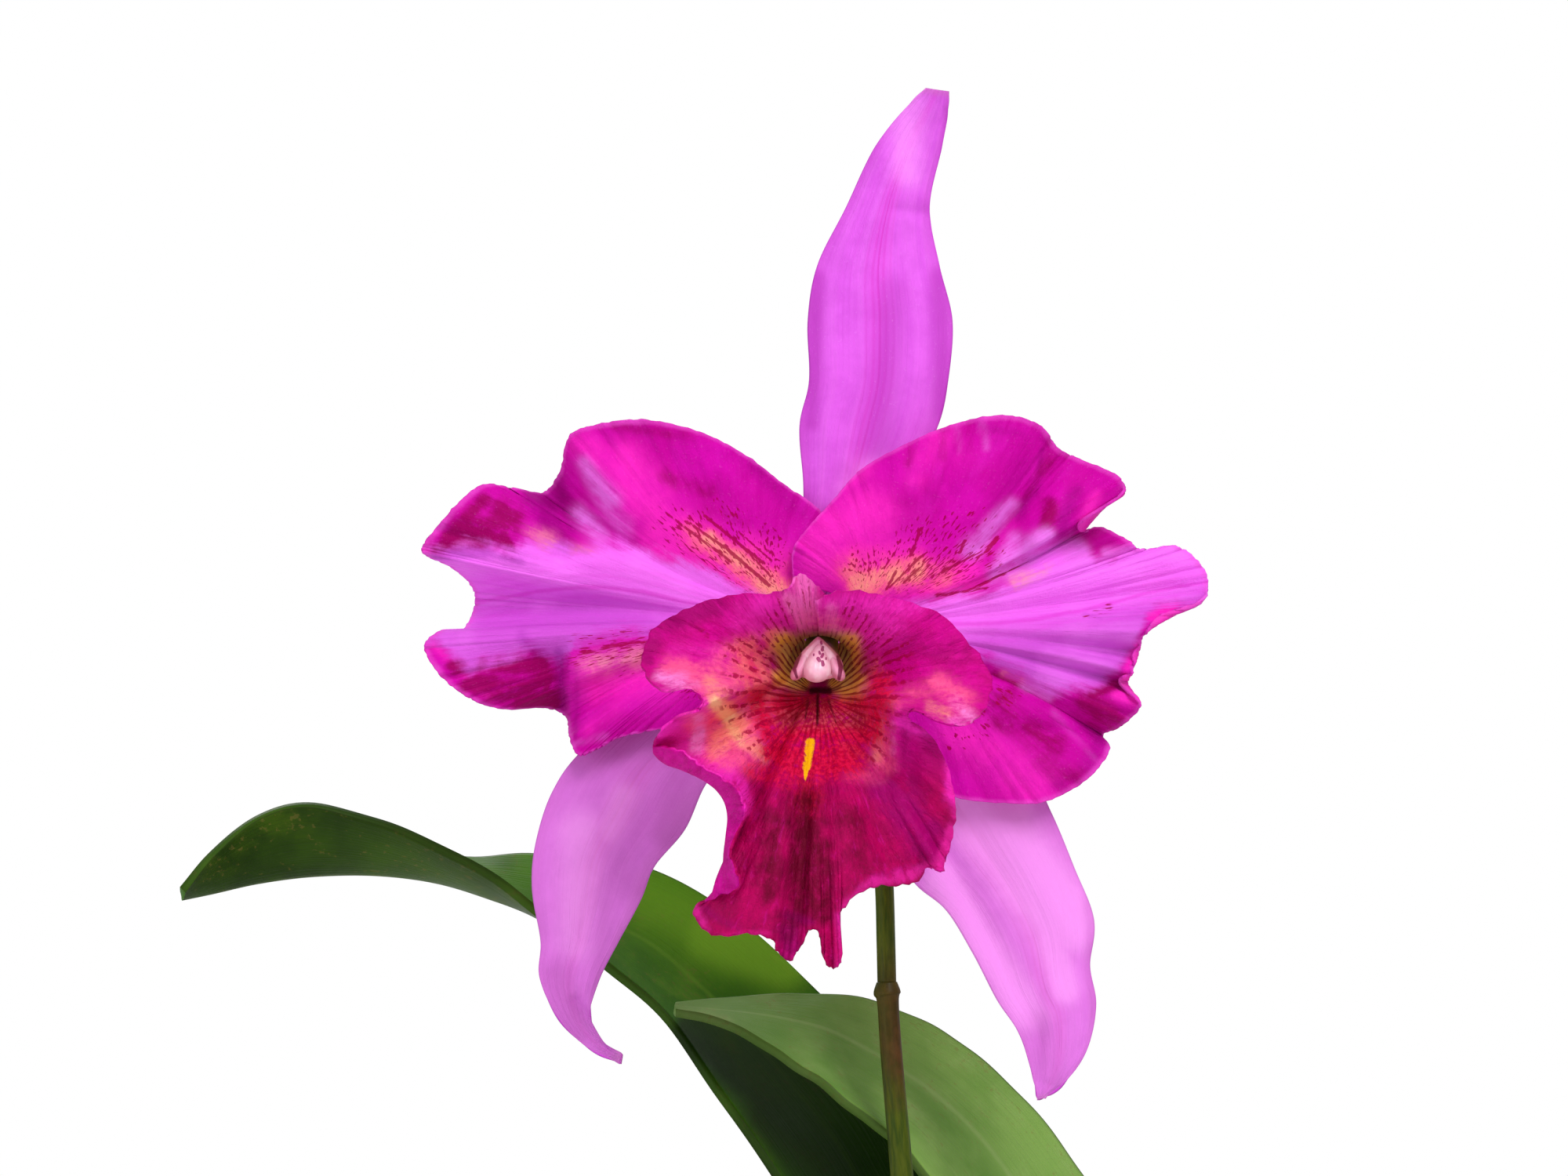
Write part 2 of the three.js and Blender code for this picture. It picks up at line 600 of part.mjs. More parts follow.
// Creeping stem with its roots, seated flat under each growth
const feet = growths.map((g) => g.foot);
const mainStem = [[36, 30.6, 92.6, 4], [28, 24, 93, 5], [10, 8, 93, 5], [-10, -10, 93, 5],
  [-17, -16.4, 93.4, 3.6]];
const sideStem = [[8, 6.4, 93, 4], [-6, 10.4, 92.6, 4.6], [-22, 10, 93, 5], [-29, 9.4, 93.4, 3.4]];

function creeping(swell) {
  let body = toSolid(tapered(mainStem, 10, 8, swell));
  body = body.add(toSolid(tapered(sideStem, 10, 5, swell)));
  for (const line of roots) {
    body = body.add(toSolid(tapered(line, 7, line.length > 5 ? 12 : 7, swell)));
  }
  return body;
}

let creeper = creeping(0);
for (const [x, y, z] of feet) {
  creeper = creeper.subtract(toSolid(upright(footRadius + 1.8, z - 1.9, z + 20, x, y)));
}
place("rhizome", fromSolid(creeper), looks.root);

// Bark: a filled body with loose chips standing out of its top
const barkSlope = (potInnerTop - potInnerFoot) / (potHeight - 2.5 - potFloor);
const barkEdge = (z) => potInnerFoot - 0.9 + barkSlope * (z - potFloor) - fitGap;
const barkProfile = [
  [0, potFloor + fitGap], [barkEdge(potFloor) - 2, potFloor + fitGap],
  [barkEdge(potFloor + 3) - 0.6, potFloor + 3], [barkEdge(barkTop - 2), barkTop - 2],
  [barkEdge(barkTop - 2) - 2, barkTop - 0.6], [0, barkTop],
];
let bark = toSolid(lathe(barkProfile, 28));
const potRoom = toSolid(lathe([
  [0, 50], [barkEdge(50), 50], [barkEdge(100), 100], [0, 100],
], 28));
for (let k = 0; k < barkChips; k += 1) {
  const spot = Math.sqrt((k + 0.5) / barkChips) * 48;
  const turn = k * 2.39996;
  const chip = new THREE.BoxGeometry(scatter(9, 16), scatter(6, 10), scatter(3.5, 6));
  const corner = chip.attributes.position;
  for (let c = 0; c < corner.count; c += 1) {
    const slim = corner.getX(c) > 0 ? 0.72 : 1;
    corner.setXYZ(c, corner.getX(c), corner.getY(c) * slim, corner.getZ(c) * (1.7 - slim));
  }
  chip.rotateX(scatter(-0.35, 0.35));
  chip.rotateY(scatter(-0.35, 0.35));
  chip.rotateZ(scatter(0, 6.28));
  chip.translate(spot * Math.cos(turn), spot * Math.sin(turn), barkTop + scatter(-0.6, 1.8));
  bark = bark.add(toSolid(chip).intersect(potRoom));
}
bark = bark.subtract(creeping(fitGap));
for (const [x, y, z] of feet) {
  bark = bark.subtract(toSolid(upright(footRadius + 2.4, z - 4, z + 20, x, y)));
}
place("bark_mix", fromSolid(bark), looks.bark);

// Swollen stems, ribbed along their length
const bulbGirths = [0, 0.06, 0.3, 0.62, 0.9, 1, 0.86, 0.44, 0.02];
growths.forEach((growth, index) => {
  const line = bulbGirths.map((share, k) => {
    const t = k / (bulbGirths.length - 1);
    const spot = growth.foot.map((v, axis) => v + (growth.apex[axis] - v) * t);
    const bow = 3 * Math.sin(Math.PI * t);
    return [spot[0], spot[1] - bow, spot[2], footRadius + (growth.fat - footRadius) * share];
  });
  place(`pseudobulb_${index + 1}`, tapered(line, 2 * ribsRound, 9, 0, ribsRound), looks.bulb);
});

// Leaves
place("leaf_1", sheet(bladeGrid(leafOneNear, leafOneRib, leafOneFar, 24, 6, 1.5),
  leafThickness), looks.leaf);
place("leaf_2", sheet(bladeGrid(leafTwoNear, leafTwoRib, leafTwoFar, 18, 6, 1.6),
  leafThickness), looks.leaf);
[[leafThreeSpine, leafThreeWidths], [leafFourSpine, leafFourWidths]].forEach(([spine, widths], k) => {
  const [near, far] = leafEdges(spine, widths, 0.42);
  place(`leaf_${k + 3}`, sheet(bladeGrid(near, spine, far, 14, 4, 1.5), leafThickness), looks.leaf);
});

// Flower stem, its sheath and the stalk above the node
place("peduncle", tapered(peduncleLine, 8, 21), looks.stem);
place("pedicel", tapered(pedicelLine, 8, 20), looks.stem);

function flatTube(line, swell, sides, steps) {
  const path = spline(line);
  const size = spline(line.map((s) => [s[3], s[4], 0]));
  const rings = [];
  for (let i = 0; i <= steps; i += 1) {
    const middle = path.getPoint(i / steps);
    const half = size.getPoint(i / steps);
    const ring = [];
    for (let j = 0; j < sides; j += 1) {
      const angle = (2 * Math.PI * j) / sides;
      ring.push(new THREE.Vector3(
        middle.x + (half.x + swell) * Math.cos(angle),
        middle.y + (half.y + swell) * Math.sin(angle),
        middle.z,
      ));
    }
    rings.push(ring);
  }
  return rings;
}
const sheathOut = flatTube(spatheLine, spatheWall, 12, 7);
const sheathIn = flatTube(spatheLine, 0, 12, 7);
for (const ring of [sheathIn[0], sheathIn[sheathIn.length - 1]]) {
  const way = ring === sheathIn[0] ? -2 : 2;
  ring.forEach((p) => {
    p.z += way;
  });
}
const sheath = toSolid(loft(sheathOut)).subtract(toSolid(loft(sheathIn)));
place("spathe", fromSolid(sheath), looks.husk);

// The bloom, in its own group at the end of the stalk
const bloom = new THREE.Group();
bloom.position.set(...bloomPlace);
group.add(bloom);

function sepal(name, left, right, bow, rows) {
  const grid = bladeGrid(left, bowed(left, right, bow), right, rows, 6, 1.7);
  place(name, sheet(grid, tepalThickness), looks.sepal, bloom);
}
sepal("dorsal_sepal", dorsalLeft, dorsalRight, 1.2, 18);
sepal("lateral_sepal_left", lateralLeftOuter, lateralLeftInner, 1.4, 18);
sepal("lateral_sepal_right", lateralRightInner, lateralRightOuter, 1.4, 18);

const leftClaw = { base: [-3.2, 1.2, 1], way: [-1, 0.05], half: 3, firstSide: 1, bulge: 1 };
const rightClaw = { base: [3.2, -1, 0.5], way: [1, 0.05], half: 3, firstSide: 1, bulge: 1.2 };
place("petal_left", sheet(petalGrid(petalLeftMargin, leftClaw, 60, 5), tepalThickness),
  looks.petal, bloom);
place("petal_right", sheet(petalGrid(petalRightMargin, rightClaw, 64, 5), tepalThickness),
  looks.petal, bloom);
place("lip", sheet(lipGrid(88, 5), lipThickness), looks.lip, bloom);

// Column: rounded and slim in the tube, wide with two wings at its nodding tip
const columnRings = columnLine.map(([y, x, z, wide, high, narrow]) => {
  const ring = [];
  for (let j = 0; j < 16; j += 1) {
    const angle = (2 * Math.PI * j) / 16;
    const lift = Math.sin(angle);
    ring.push(new THREE.Vector3(
      x + wide * Math.cos(angle) * (1 - narrow * lift) ** 0.9,
      y,
      z + high * lift,
    ));
  }
  return ring;
});
place("column", loft(columnRings), looks.column, bloom);

const cap = new THREE.SphereGeometry(1, 10, 7);
cap.scale(...antherRadii);
cap.translate(...antherPlace);
place("anther_cap", cap, looks.column, bloom);

export default group;
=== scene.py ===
import math
import random

import bmesh
import bpy
import numpy as np
from mathutils import Matrix, Vector


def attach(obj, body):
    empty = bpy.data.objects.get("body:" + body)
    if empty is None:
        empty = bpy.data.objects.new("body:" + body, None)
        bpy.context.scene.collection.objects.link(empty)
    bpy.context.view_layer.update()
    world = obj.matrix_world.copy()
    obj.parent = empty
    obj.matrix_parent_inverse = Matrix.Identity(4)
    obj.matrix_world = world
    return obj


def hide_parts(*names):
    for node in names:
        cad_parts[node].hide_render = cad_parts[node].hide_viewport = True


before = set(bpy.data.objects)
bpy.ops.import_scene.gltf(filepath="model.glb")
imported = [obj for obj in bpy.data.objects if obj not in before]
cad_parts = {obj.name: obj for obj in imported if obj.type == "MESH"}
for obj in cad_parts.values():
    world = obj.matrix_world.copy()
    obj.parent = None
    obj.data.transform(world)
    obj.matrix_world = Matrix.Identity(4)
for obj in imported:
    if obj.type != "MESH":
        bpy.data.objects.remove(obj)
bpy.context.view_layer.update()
print("frame loaded:", len(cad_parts), "nodes")

mm = 0.001
toMm = 1000  # shaders work in metres
tiny = 1e-6
bloomSeat = np.array([-15.0, -12.0, 350.0])  # where the petals meet, in millimetres


# Shader arithmetic

def srgb(red, green, blue):
    parts = [c / 255 for c in (red, green, blue)]
    return tuple(c / 12.92 if c <= 0.04045 else ((c + 0.055) / 1.055) ** 2.4 for c in parts) + (1.0,)


class Wire:
    def __init__(self, finish, socket):
        self.finish = finish
        self.socket = socket

    def maths(self, operation, *values):
        return self.finish.node("ShaderNodeMath", {"operation": operation}, list(values))

    def __add__(self, other):
        return self.maths("ADD", self, other)

    def __sub__(self, other):
        return self.maths("SUBTRACT", self, other)

    def __rsub__(self, other):
        return self.maths("SUBTRACT", other, self)

    def __mul__(self, other):
        return self.maths("MULTIPLY", self, other)

    def __truediv__(self, other):
        return self.maths("DIVIDE", self, other)

    def __abs__(self):
        return self.maths("ABSOLUTE", self)

    __radd__ = __add__
    __rmul__ = __mul__

    def atLeast(self, other):
        return self.maths("MAXIMUM", self, other)

    def atMost(self, other):
        return self.maths("MINIMUM", self, other)


class Finish:
    def __init__(self, name, roughness=0.5, **constants):
        self.material = bpy.data.materials.new(name)
        self.material.use_nodes = True
        self.tree = self.material.node_tree
        self.shader = self.tree.nodes["Principled BSDF"]
        self.shader.inputs["Roughness"].default_value = roughness
        for socket, value in constants.items():
            self.shader.inputs[socket.replace("_", " ")].default_value = value

    def node(self, kind, settings, values, output=0):
        made = self.tree.nodes.new(kind)
        for key, value in settings.items():
            setattr(made, key, value)
        pairs = values.items() if isinstance(values, dict) else enumerate(values)
        for key, value in pairs:
            self.feed(made.inputs[key], value)
        return Wire(self, made.outputs[output])

    def feed(self, socket, value):
        if isinstance(value, Wire):
            self.tree.links.new(value.socket, socket)
        else:
            socket.default_value = value

    def mark(self, name):
        return self.node("ShaderNodeAttribute", {"attribute_name": name}, {}, "Fac")

    def place(self):
        return self.node("ShaderNodeTexCoord", {}, {}, "Object")

    def along(self):
        where = self.node("ShaderNodeUVMap", {"uv_map": "along"}, {})
        split = self.tree.nodes.new("ShaderNodeSeparateXYZ")
        self.feed(split.inputs[0], where)
        return Wire(self, split.outputs[0]), Wire(self, split.outputs[1])

    def axes(self):
        split = self.tree.nodes.new("ShaderNodeSeparateXYZ")
        self.feed(split.inputs[0], self.place())
        return [Wire(self, split.outputs[k]) for k in range(3)]

    def vector(self, x, y, z=0.0):
        return self.node("ShaderNodeCombineXYZ", {}, [x, y, z])

    def clouds(self, where, scale=1.0, detail=3.0, roughness=0.5, twist=0.0):
        return self.node("ShaderNodeTexNoise", {}, {
            "Vector": where, "Scale": scale, "Detail": detail, "Roughness": roughness,
            "Distortion": twist})

    def step(self, value, low, high):
        return self.node("ShaderNodeMapRange", {"interpolation_type": "SMOOTHSTEP"}, {
            "Value": value, "From Min": low, "From Max": high})

    def wave(self, turns):
        return self.node("ShaderNodeMath", {"operation": "SINE"}, [turns * (2 * math.pi)])

    # How far a painted stroke covers, its edge frayed by noise
    def brush(self, key, fray, low, high):
        return self.step(self.mark(key) * (fray * 1.7 + 1), low, high)

    # Coats of paint: stroke list, noise at its edge, where it starts and covers, share, tone
    def coats(self, colour, layers):
        for key, fray, low, high, share, tone in layers:
            paint = tone if isinstance(tone, Wire) else srgb(*tone)
            colour = self.mix(self.brush(key, fray, low, high) * share, colour, paint)
        return colour

    def mix(self, share, first, second):
        return self.node("ShaderNodeMix", {"data_type": "RGBA"}, {0: share, 6: first, 7: second}, 2)

    def finish(self, colour, roughness=None, height=None, depth=0.1):
        self.feed(self.shader.inputs["Base Color"], colour)
        if roughness is not None:
            self.feed(self.shader.inputs["Roughness"], roughness)
        if height is not None:
            relief = self.node("ShaderNodeBump", {}, {
                "Strength": 1.0, "Distance": depth * mm, "Height": height})
            self.feed(self.shader.inputs["Normal"], relief)
        return self.material


# Curves and surfaces, all in millimetres

def splineAt(points, spots):
    line = np.array(points, float)
    last = len(line) - 1
    padded = np.vstack([2 * line[0] - line[1], line, 2 * line[-1] - line[-2]])
    where = np.clip(np.asarray(spots, float), 0, 1) * last
    k = np.minimum(where.astype(int), last - 1)
    w = (where - k)[:, None]
    before, here, there, after = padded[k], padded[k + 1], padded[k + 2], padded[k + 3]
    leave = (there - before) / 2
    reach = (after - here) / 2
    return (here + leave * w + (3 * (there - here) - 2 * leave - reach) * w ** 2
            + (2 * (here - there) + leave + reach) * w ** 3)


def smoothed(points, passes):
    line = np.array(points, float)
    for _ in range(passes):
        line[1:-1] = (line[:-2] + 2 * line[1:-1] + line[2:]) / 4
    return line


# Brush strokes: each runs from x, z to x, z with a half width at both ends and a strength
def strokes(x, z, table):
    total = np.zeros_like(x)
    for x0, z0, x1, z1, wide0, wide1, strength in table:
        dx, dz = x1 - x0, z1 - z0
        share = np.clip(((x - x0) * dx + (z - z0) * dz) / max(dx * dx + dz * dz, tiny), 0, 1)
        away = np.hypot(x - x0 - share * dx, z - z0 - share * dz)
        wide = wide0 + (wide1 - wide0) * share
        total = np.maximum(total, strength * np.exp2(-(away / wide) ** 2))
    return total


# Folds are strokes too, whose strength is a height toward the viewer, and they add up
def folds(x, z, table):
    return sum(np.sign(fold[6]) * strokes(x, z, [(*fold[:6], abs(fold[6]))]) for fold in table)


# Every list of strokes becomes a value at each point of a surface
def painted(table):
    def marks(points):
        x, z = points[:, 0] - bloomSeat[0], points[:, 2] - bloomSeat[2]
        return {key: strokes(x, z, lines) for key, lines in table.items()}
    return marks


# A row of waves: its height, and how many of each length run along the whole
def ripple(spots, wave, seed):
    height, counts = wave
    dice = random.Random(seed)
    total = np.zeros_like(spots)
    for count in counts:
        total += np.sin(2 * math.pi * (count * spots + dice.random())) * dice.uniform(0.6, 1)
    return height * total / len(counts)


# Nothing before the start, then rising to one at the rim
def towardRim(r, start, power):
    return np.clip((r - start) / (1 - start), 0, 1) ** power


# The direction of a line at spots along it
def heading(line, spots):
    behind, ahead = (splineAt(line, np.clip(spots + step, 0, 1))[:, :3] for step in (-1e-3, 1e-3))
    along = ahead - behind
    return along / np.linalg.norm(along, axis=1)[:, None]


# A blade whose margin is turned over toward the viewer between pairs of places along it
def turnedOver(place, turns, flat):
    def bent(us, r):
        points = place(us, r)
        for start, end, hinge, degrees in turns:
            chosen = np.flatnonzero((us > start) & (us < end) & (r > hinge))
            if not len(chosen):
                continue
            u, reach = us[chosen], (r[chosen] - hinge) / (1 - hinge)
            foot = place(u, np.full(len(u), hinge))
            out = place(u, np.ones(len(u))) - foot
            whole = np.radians(degrees) * np.sin(math.pi * (u - start) / (end - start)) ** 0.6 + 1e-3
            stretch = 1 / np.sin(np.minimum(whole, math.pi / 2))
            turn = whole * reach
            size = np.linalg.norm(out, axis=1)
            rolled = foot + out * (stretch * np.sin(turn))[:, None]
            rolled[:, 1] -= flat * size * stretch * (1 - np.cos(turn))
            points[chosen] = rolled
        return points
    return bent


# A sheet or a skin is a grid whose points are moved to their places
def gridPiece(name, columns, rows, place, finishes, node=None, slot=None, marks=None,
              lines=None, closed=False, thickness=None):
    bm = bmesh.new()
    layer = bm.loops.layers.uv.new("along")
    bmesh.ops.create_grid(bm, x_segments=columns, y_segments=rows, size=0.5, calc_uvs=True)
    bm.verts.ensure_lookup_table()
    spots = np.array([v.co[:2] for v in bm.verts]) + 0.5
    us, vs = spots[:, 0], spots[:, 1]
    points = place(us, vs)
    for vert, point in zip(bm.verts, points):
        vert.co = Vector(point) * mm
    if lines is not None:
        across = lines(us, vs, points)
        for face in bm.faces:
            for loop in face.loops:
                loop[layer].uv = across[loop.vert.index]
    for key, values in (marks(points) if marks else {}).items():
        channel = bm.verts.layers.float.new(key)
        for vert, value in zip(bm.verts, values):
            vert[channel] = float(value)
    if closed:
        bmesh.ops.remove_doubles(bm, verts=bm.verts, dist=tiny)
        bmesh.ops.recalc_face_normals(bm, faces=bm.faces)
    return meshPiece(name, bm, finishes, node, thickness)


def meshPiece(name, bm, finishes, node=None, thickness=None):
    mesh = bpy.data.meshes.new(name)
    for face in bm.faces:
        face.smooth = True
    bm.to_mesh(mesh)
    bm.free()
    piece = bpy.data.objects.new(name, mesh)
    bpy.context.scene.collection.objects.link(piece)
    for material in finishes:
        mesh.materials.append(material)
    if thickness is not None:
        shell = piece.modifiers.new("thickness", "SOLIDIFY")
        shell.thickness = thickness * mm
        shell.offset = 0
        shell.use_quality_normals = True
        shell.material_offset = len(finishes) - 1
    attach(piece, "root")
    if node:
        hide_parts(node)
    return piece


# Blade between two edges, bent over a middle line
def bladePlace(left, middle, right, sharpness):
    def place(us, vs):
        l, m, r = (splineAt(line, vs) for line in (left, middle, right))
        v = (2 * us - 1)[:, None]
        return m + (r - l) * v / 2 + ((l + r) / 2 - m) * np.abs(v) ** sharpness
    return place


# A round stem along stations of x, y, z and radius, its last share rounded off
def stemPlace(stations, around=None, tip=0.0, blunt=0.0):
    line = np.array(stations, float)
    cap = 0.02  # the share of its rows that closes each end
    slant = np.array([0.13, 1.0, 0.07])  # no stem runs this way

    def place(us, vs):
        inner = np.clip((vs - cap) / (1 - 2 * cap), 0, 1)
        middle = splineAt(line, inner)
        along = heading(line, inner)
        side = np.cross(along, slant)
        side /= np.linalg.norm(side, axis=1)[:, None]
        up = np.cross(along, side)
        radius = middle[:, 3].copy()
        turn = 2 * math.pi * us
        if around is not None:
            radius = radius * around(turn, inner)
        if tip:
            late = np.clip((inner - 1 + tip) / tip, 0, 1)
            radius = radius * (blunt + (1 - blunt) * np.sqrt(1 - late ** 2))
        radius = np.where((vs < tiny) | (vs > 1 - tiny), 0, radius)
        return (middle[:, :3] + side * (radius * np.cos(turn))[:, None]
                + up * (radius * np.sin(turn))[:, None])
    return place


print("tools ready")


# Camera and light

def aim(thing, target):
    thing.rotation_euler = (Vector(target) - thing.location).to_track_quat("-Z", "Y").to_euler()


def studio():
    plan = {
        "lens": 150, "sensor": 36, "eye": (-0.0215, -1.095, 0.3565),
        "floorRadius": 2.4, "floorDrop": 0.3, "floorShade": 0.86, "sky": 1.0, "skyLight": 0.55,
    }
    lamps = [  # name, place, size, watts
        ("key", (0.55, -1.3, 1.45), 0.9, 22),
        ("fill", (-1.4, -1.3, 0.6), 1.4, 7),
        ("back", (-0.5, 1.5, 1.2), 1.0, 8),
    ]
    scene = bpy.context.scene
    camera = bpy.data.objects.new("camera", bpy.data.cameras.new("camera"))
    scene.collection.objects.link(camera)
    camera.data.lens = plan["lens"]
    camera.data.sensor_width = plan["sensor"]
    camera.data.clip_start = 0.01
    camera.location = plan["eye"]
    camera.rotation_euler = (math.radians(90), 0, 0)
    scene.camera = camera
    for name, spot, size, watts in lamps:
        lamp = bpy.data.lights.new(name, "AREA")
        lamp.size = size
        lamp.energy = watts
        holder = bpy.data.objects.new(name, lamp)
        scene.collection.objects.link(holder)
        holder.location = spot
        aim(holder, bloomSeat * mm)
        holder.visible_camera = False
    world = bpy.data.worlds.new("studio")
    scene.world = world
    world.use_nodes = True
    tree = world.node_tree
    air = tree.nodes["Background"]
    air.inputs["Color"].default_value = (1, 1, 1, 1)
    seen = tree.nodes.new("ShaderNodeLightPath")
    level = tree.nodes.new("ShaderNodeMapRange")
    tree.links.new(seen.outputs["Is Camera Ray"], level.inputs["Value"])
    level.inputs["To Min"].default_value = plan["skyLight"]
    level.inputs["To Max"].default_value = plan["sky"]
    tree.links.new(level.outputs[0], air.inputs["Strength"])
    scene.view_settings.view_transform = "Standard"

    paper = Finish("floor_paper", 0.9)
    x, y, _ = paper.axes()
    tone = paper.clouds(paper.vector(x, y), 3, 2)
    shade = plan["floorShade"]
    pale = (shade, shade, shade, 1)
    faint = (shade - 0.02, shade - 0.02, shade - 0.02, 1)
    bm = bmesh.new()
    bmesh.ops.create_circle(bm, cap_ends=True, segments=96, radius=plan["floorRadius"])
    bmesh.ops.translate(bm, verts=bm.verts, vec=(0, 0, -plan["floorDrop"] * mm))
    mesh = bpy.data.meshes.new("floor")
    bm.to_mesh(mesh)
    bm.free()
    mesh.materials.append(paper.finish(paper.mix(tone, pale, faint)))
    floor = bpy.data.objects.new("floor", mesh)
    scene.collection.objects.link(floor)


studio()
print("studio ready")


# Petals: strokes and folds are places across and up from the middle of the bloom

petalPlan = {
    "columns": 420, "rows": 98, "thickness": 0.5, "waveDepth": 0.95, "flat": 0.4,
    "reach": 0.35, "spread": 1.4,
    # ruffles, teeth and swells: height, and how many run along the margin
    "crinkle": (0.76, (41, 67, 23, 97)), "scallop": (0.15, (71, 109, 163)),
    "swell": (0.25, (14, 19, 31)),
    "leftClaw": {"base": (-3.2, 1.2, 1.0), "way": (-1, 0.05), "half": 3, "bulge": 1.0},
    "rightClaw": {"base": (3.2, -1.0, 0.5), "way": (1, 0.05), "half": 3, "bulge": 1.2},
    "leftMargin": [
        (-13, 2, -13), (-22.1, 0, -16.3), (-27.3, -2, -16.9), (-33.8, -3, -18.2), (-37.7, -3, -20.2),
        (-40.6, -2, -21.1), (-42, 2, -18.2), (-42.8, 6, -15), (-46.8, 5, -13.4), (-53.3, 0, -13.5),
        (-58.5, -3, -11.7), (-63, -4, -8.2), (-65.9, -5, -3.3), (-63.3, -2, -0.7), (-59.8, 4, -0.5),
        (-58.1, 9, 3.9), (-58.8, 8, 7.2), (-61.8, 3, 10.1), (-65.7, -1, 12), (-66.2, -2, 13.7),
        (-61.8, -3, 18.9), (-56.9, -2, 23.4), (-52, 1, 23.1), (-46.8, 5, 22.4), (-43.6, 2, 26),
        (-41.9, -3, 31.5), (-36.4, -5, 33.7), (-28.6, -5, 34.2), (-20.2, -3, 32.2), (-13, -1, 28.6),
        (-6.5, 1, 23.7), (-0.5, 2, 19.2), (1.3, 2, 13),
    ],
    "rightMargin": [
        (-4.9, -1, 7.2), (-5.1, -3, 12.4), (-3.3, -4, 15.6), (2, -4, 21.5), (6.5, -4, 26.3),
        (14.3, -5, 30.6), (22.1, -6, 33.7), (29.9, -6, 35), (35.8, -4, 33.4), (38.7, -1, 29.9),
        (42.3, 2, 28), (48.8, -2, 25), (49.4, -4, 22.1), (46.8, 1, 20.2), (43.4, 4, 16.1),
        (46.2, 2.4, 16.5), (50.7, 0, 14.3), (52.7, 2, 12.9), (58.5, 3, 13.4), (62.1, 3, 11.2),
        (64, 4, 7.8), (62.7, 3, 4.2), (57.9, 0, 2), (53.3, -3, -0.8), (52, 1, -4.6), (51.1, -3, -7.2),
        (50.3, 1, -9.4), (52.3, -3, -13), (49.4, 0, -16.3), (46.5, 4, -17.9), (47.5, 1, -20.5),
        (43.6, -2, -25.1), (37.1, -3, -28.7), (30.6, -3, -29.1), (21.5, -2, -28), (13, 0, -23.4),
        (6.5, 1, -13),
    ],
    # the lower left lobe stands behind the band: height, brink across, top, middle and reach
    "leftLedge": {"height": 4.5, "brink": (-42.6, 3.4), "top": (-4, 0.9), "middle": (-43, 9)},
    # where the margin is turned over: from and to along it, hinge, degrees
    "leftTurns": [(0.75, 0.81, 0.93, 60)],
    "rightTurns": [(0.315, 0.405, 0.89, 165), (0.56, 0.655, 0.93, 150), (0.645, 0.69, 0.94, 130),
                   (0.685, 0.76, 0.93, 140), (0.79, 0.83, 0.95, 80)],
}
leftBand = {
    "top": [(-70, 12), (-61.9, 12.8), (-60, 13.9), (-55, 13.9), (-53.5, 12.8), (-51.2, 12.6),
            (-49.5, 13.4), (-43.2, 13.5), (-40.9, 12.6), (-38.2, 12.8), (-37.1, 13.5), (-34, 13.9),
            (-31, 13.1), (-28.3, 11.6), (-23.7, 10.9), (-19.9, 10.1), (-16.9, 8.6), (-14.2, 6.7),
            (-11.2, 5.4), (-3, 3)],
    "foot": [(-70, -1), (-64, -2), (-62.6, -3.3), (-60, -5.5), (-58.4, -6.7), (-56.2, -5.2),
             (-51.6, -4.8), (-50.4, -4), (-48.5, -2.6), (-46.2, -4), (-44, -5.5), (-42, -5),
             (-41.3, -2.3), (-37.9, -1.7), (-34.4, -1), (-31, -0.6), (-29.1, -1.2), (-15, -1),
             (-3, -1)],
    "rib": [(-70, 3), (-58.1, 4), (-52.3, 5.1), (-46.2, 6.3), (-40.9, 6.8), (-36, 6.7), (-29.5, 5.9),
            (-23.8, 4.4), (-14, 2.5), (-3, 1)],
}
rightBand = {
    "top": [(3, 1.8), (10, 2.6), (16.8, 3.9), (22.4, 5.1), (28.1, 5.9), (31, 6.5), (34, 8.5),
            (37, 12.5), (41, 14.6), (43, 13.6), (45, 11), (49, 11.6), (52, 13.4), (56, 16), (70, 17)],
    "foot": [(3, -1.5), (20, -3.4), (27.2, -4.8), (29.5, -6.3), (32.8, -7.2), (34.7, -9.1),
             (37.6, -10.7), (39.9, -10), (43.2, -10.5), (45.6, -9.6), (48.4, -7.7), (50.3, -4.8),
             (51.7, -2.5), (53.2, 0.8), (55, 3), (58.4, 3.6), (62, 3), (70, 2)],
    "rib": [(3, 0.2), (22.4, 0.4), (29.1, 0.5), (34.7, 1.1), (42.3, 2.5), (48, 3.9), (53.6, 5.6),
            (60.3, 7), (70, 8)],
}
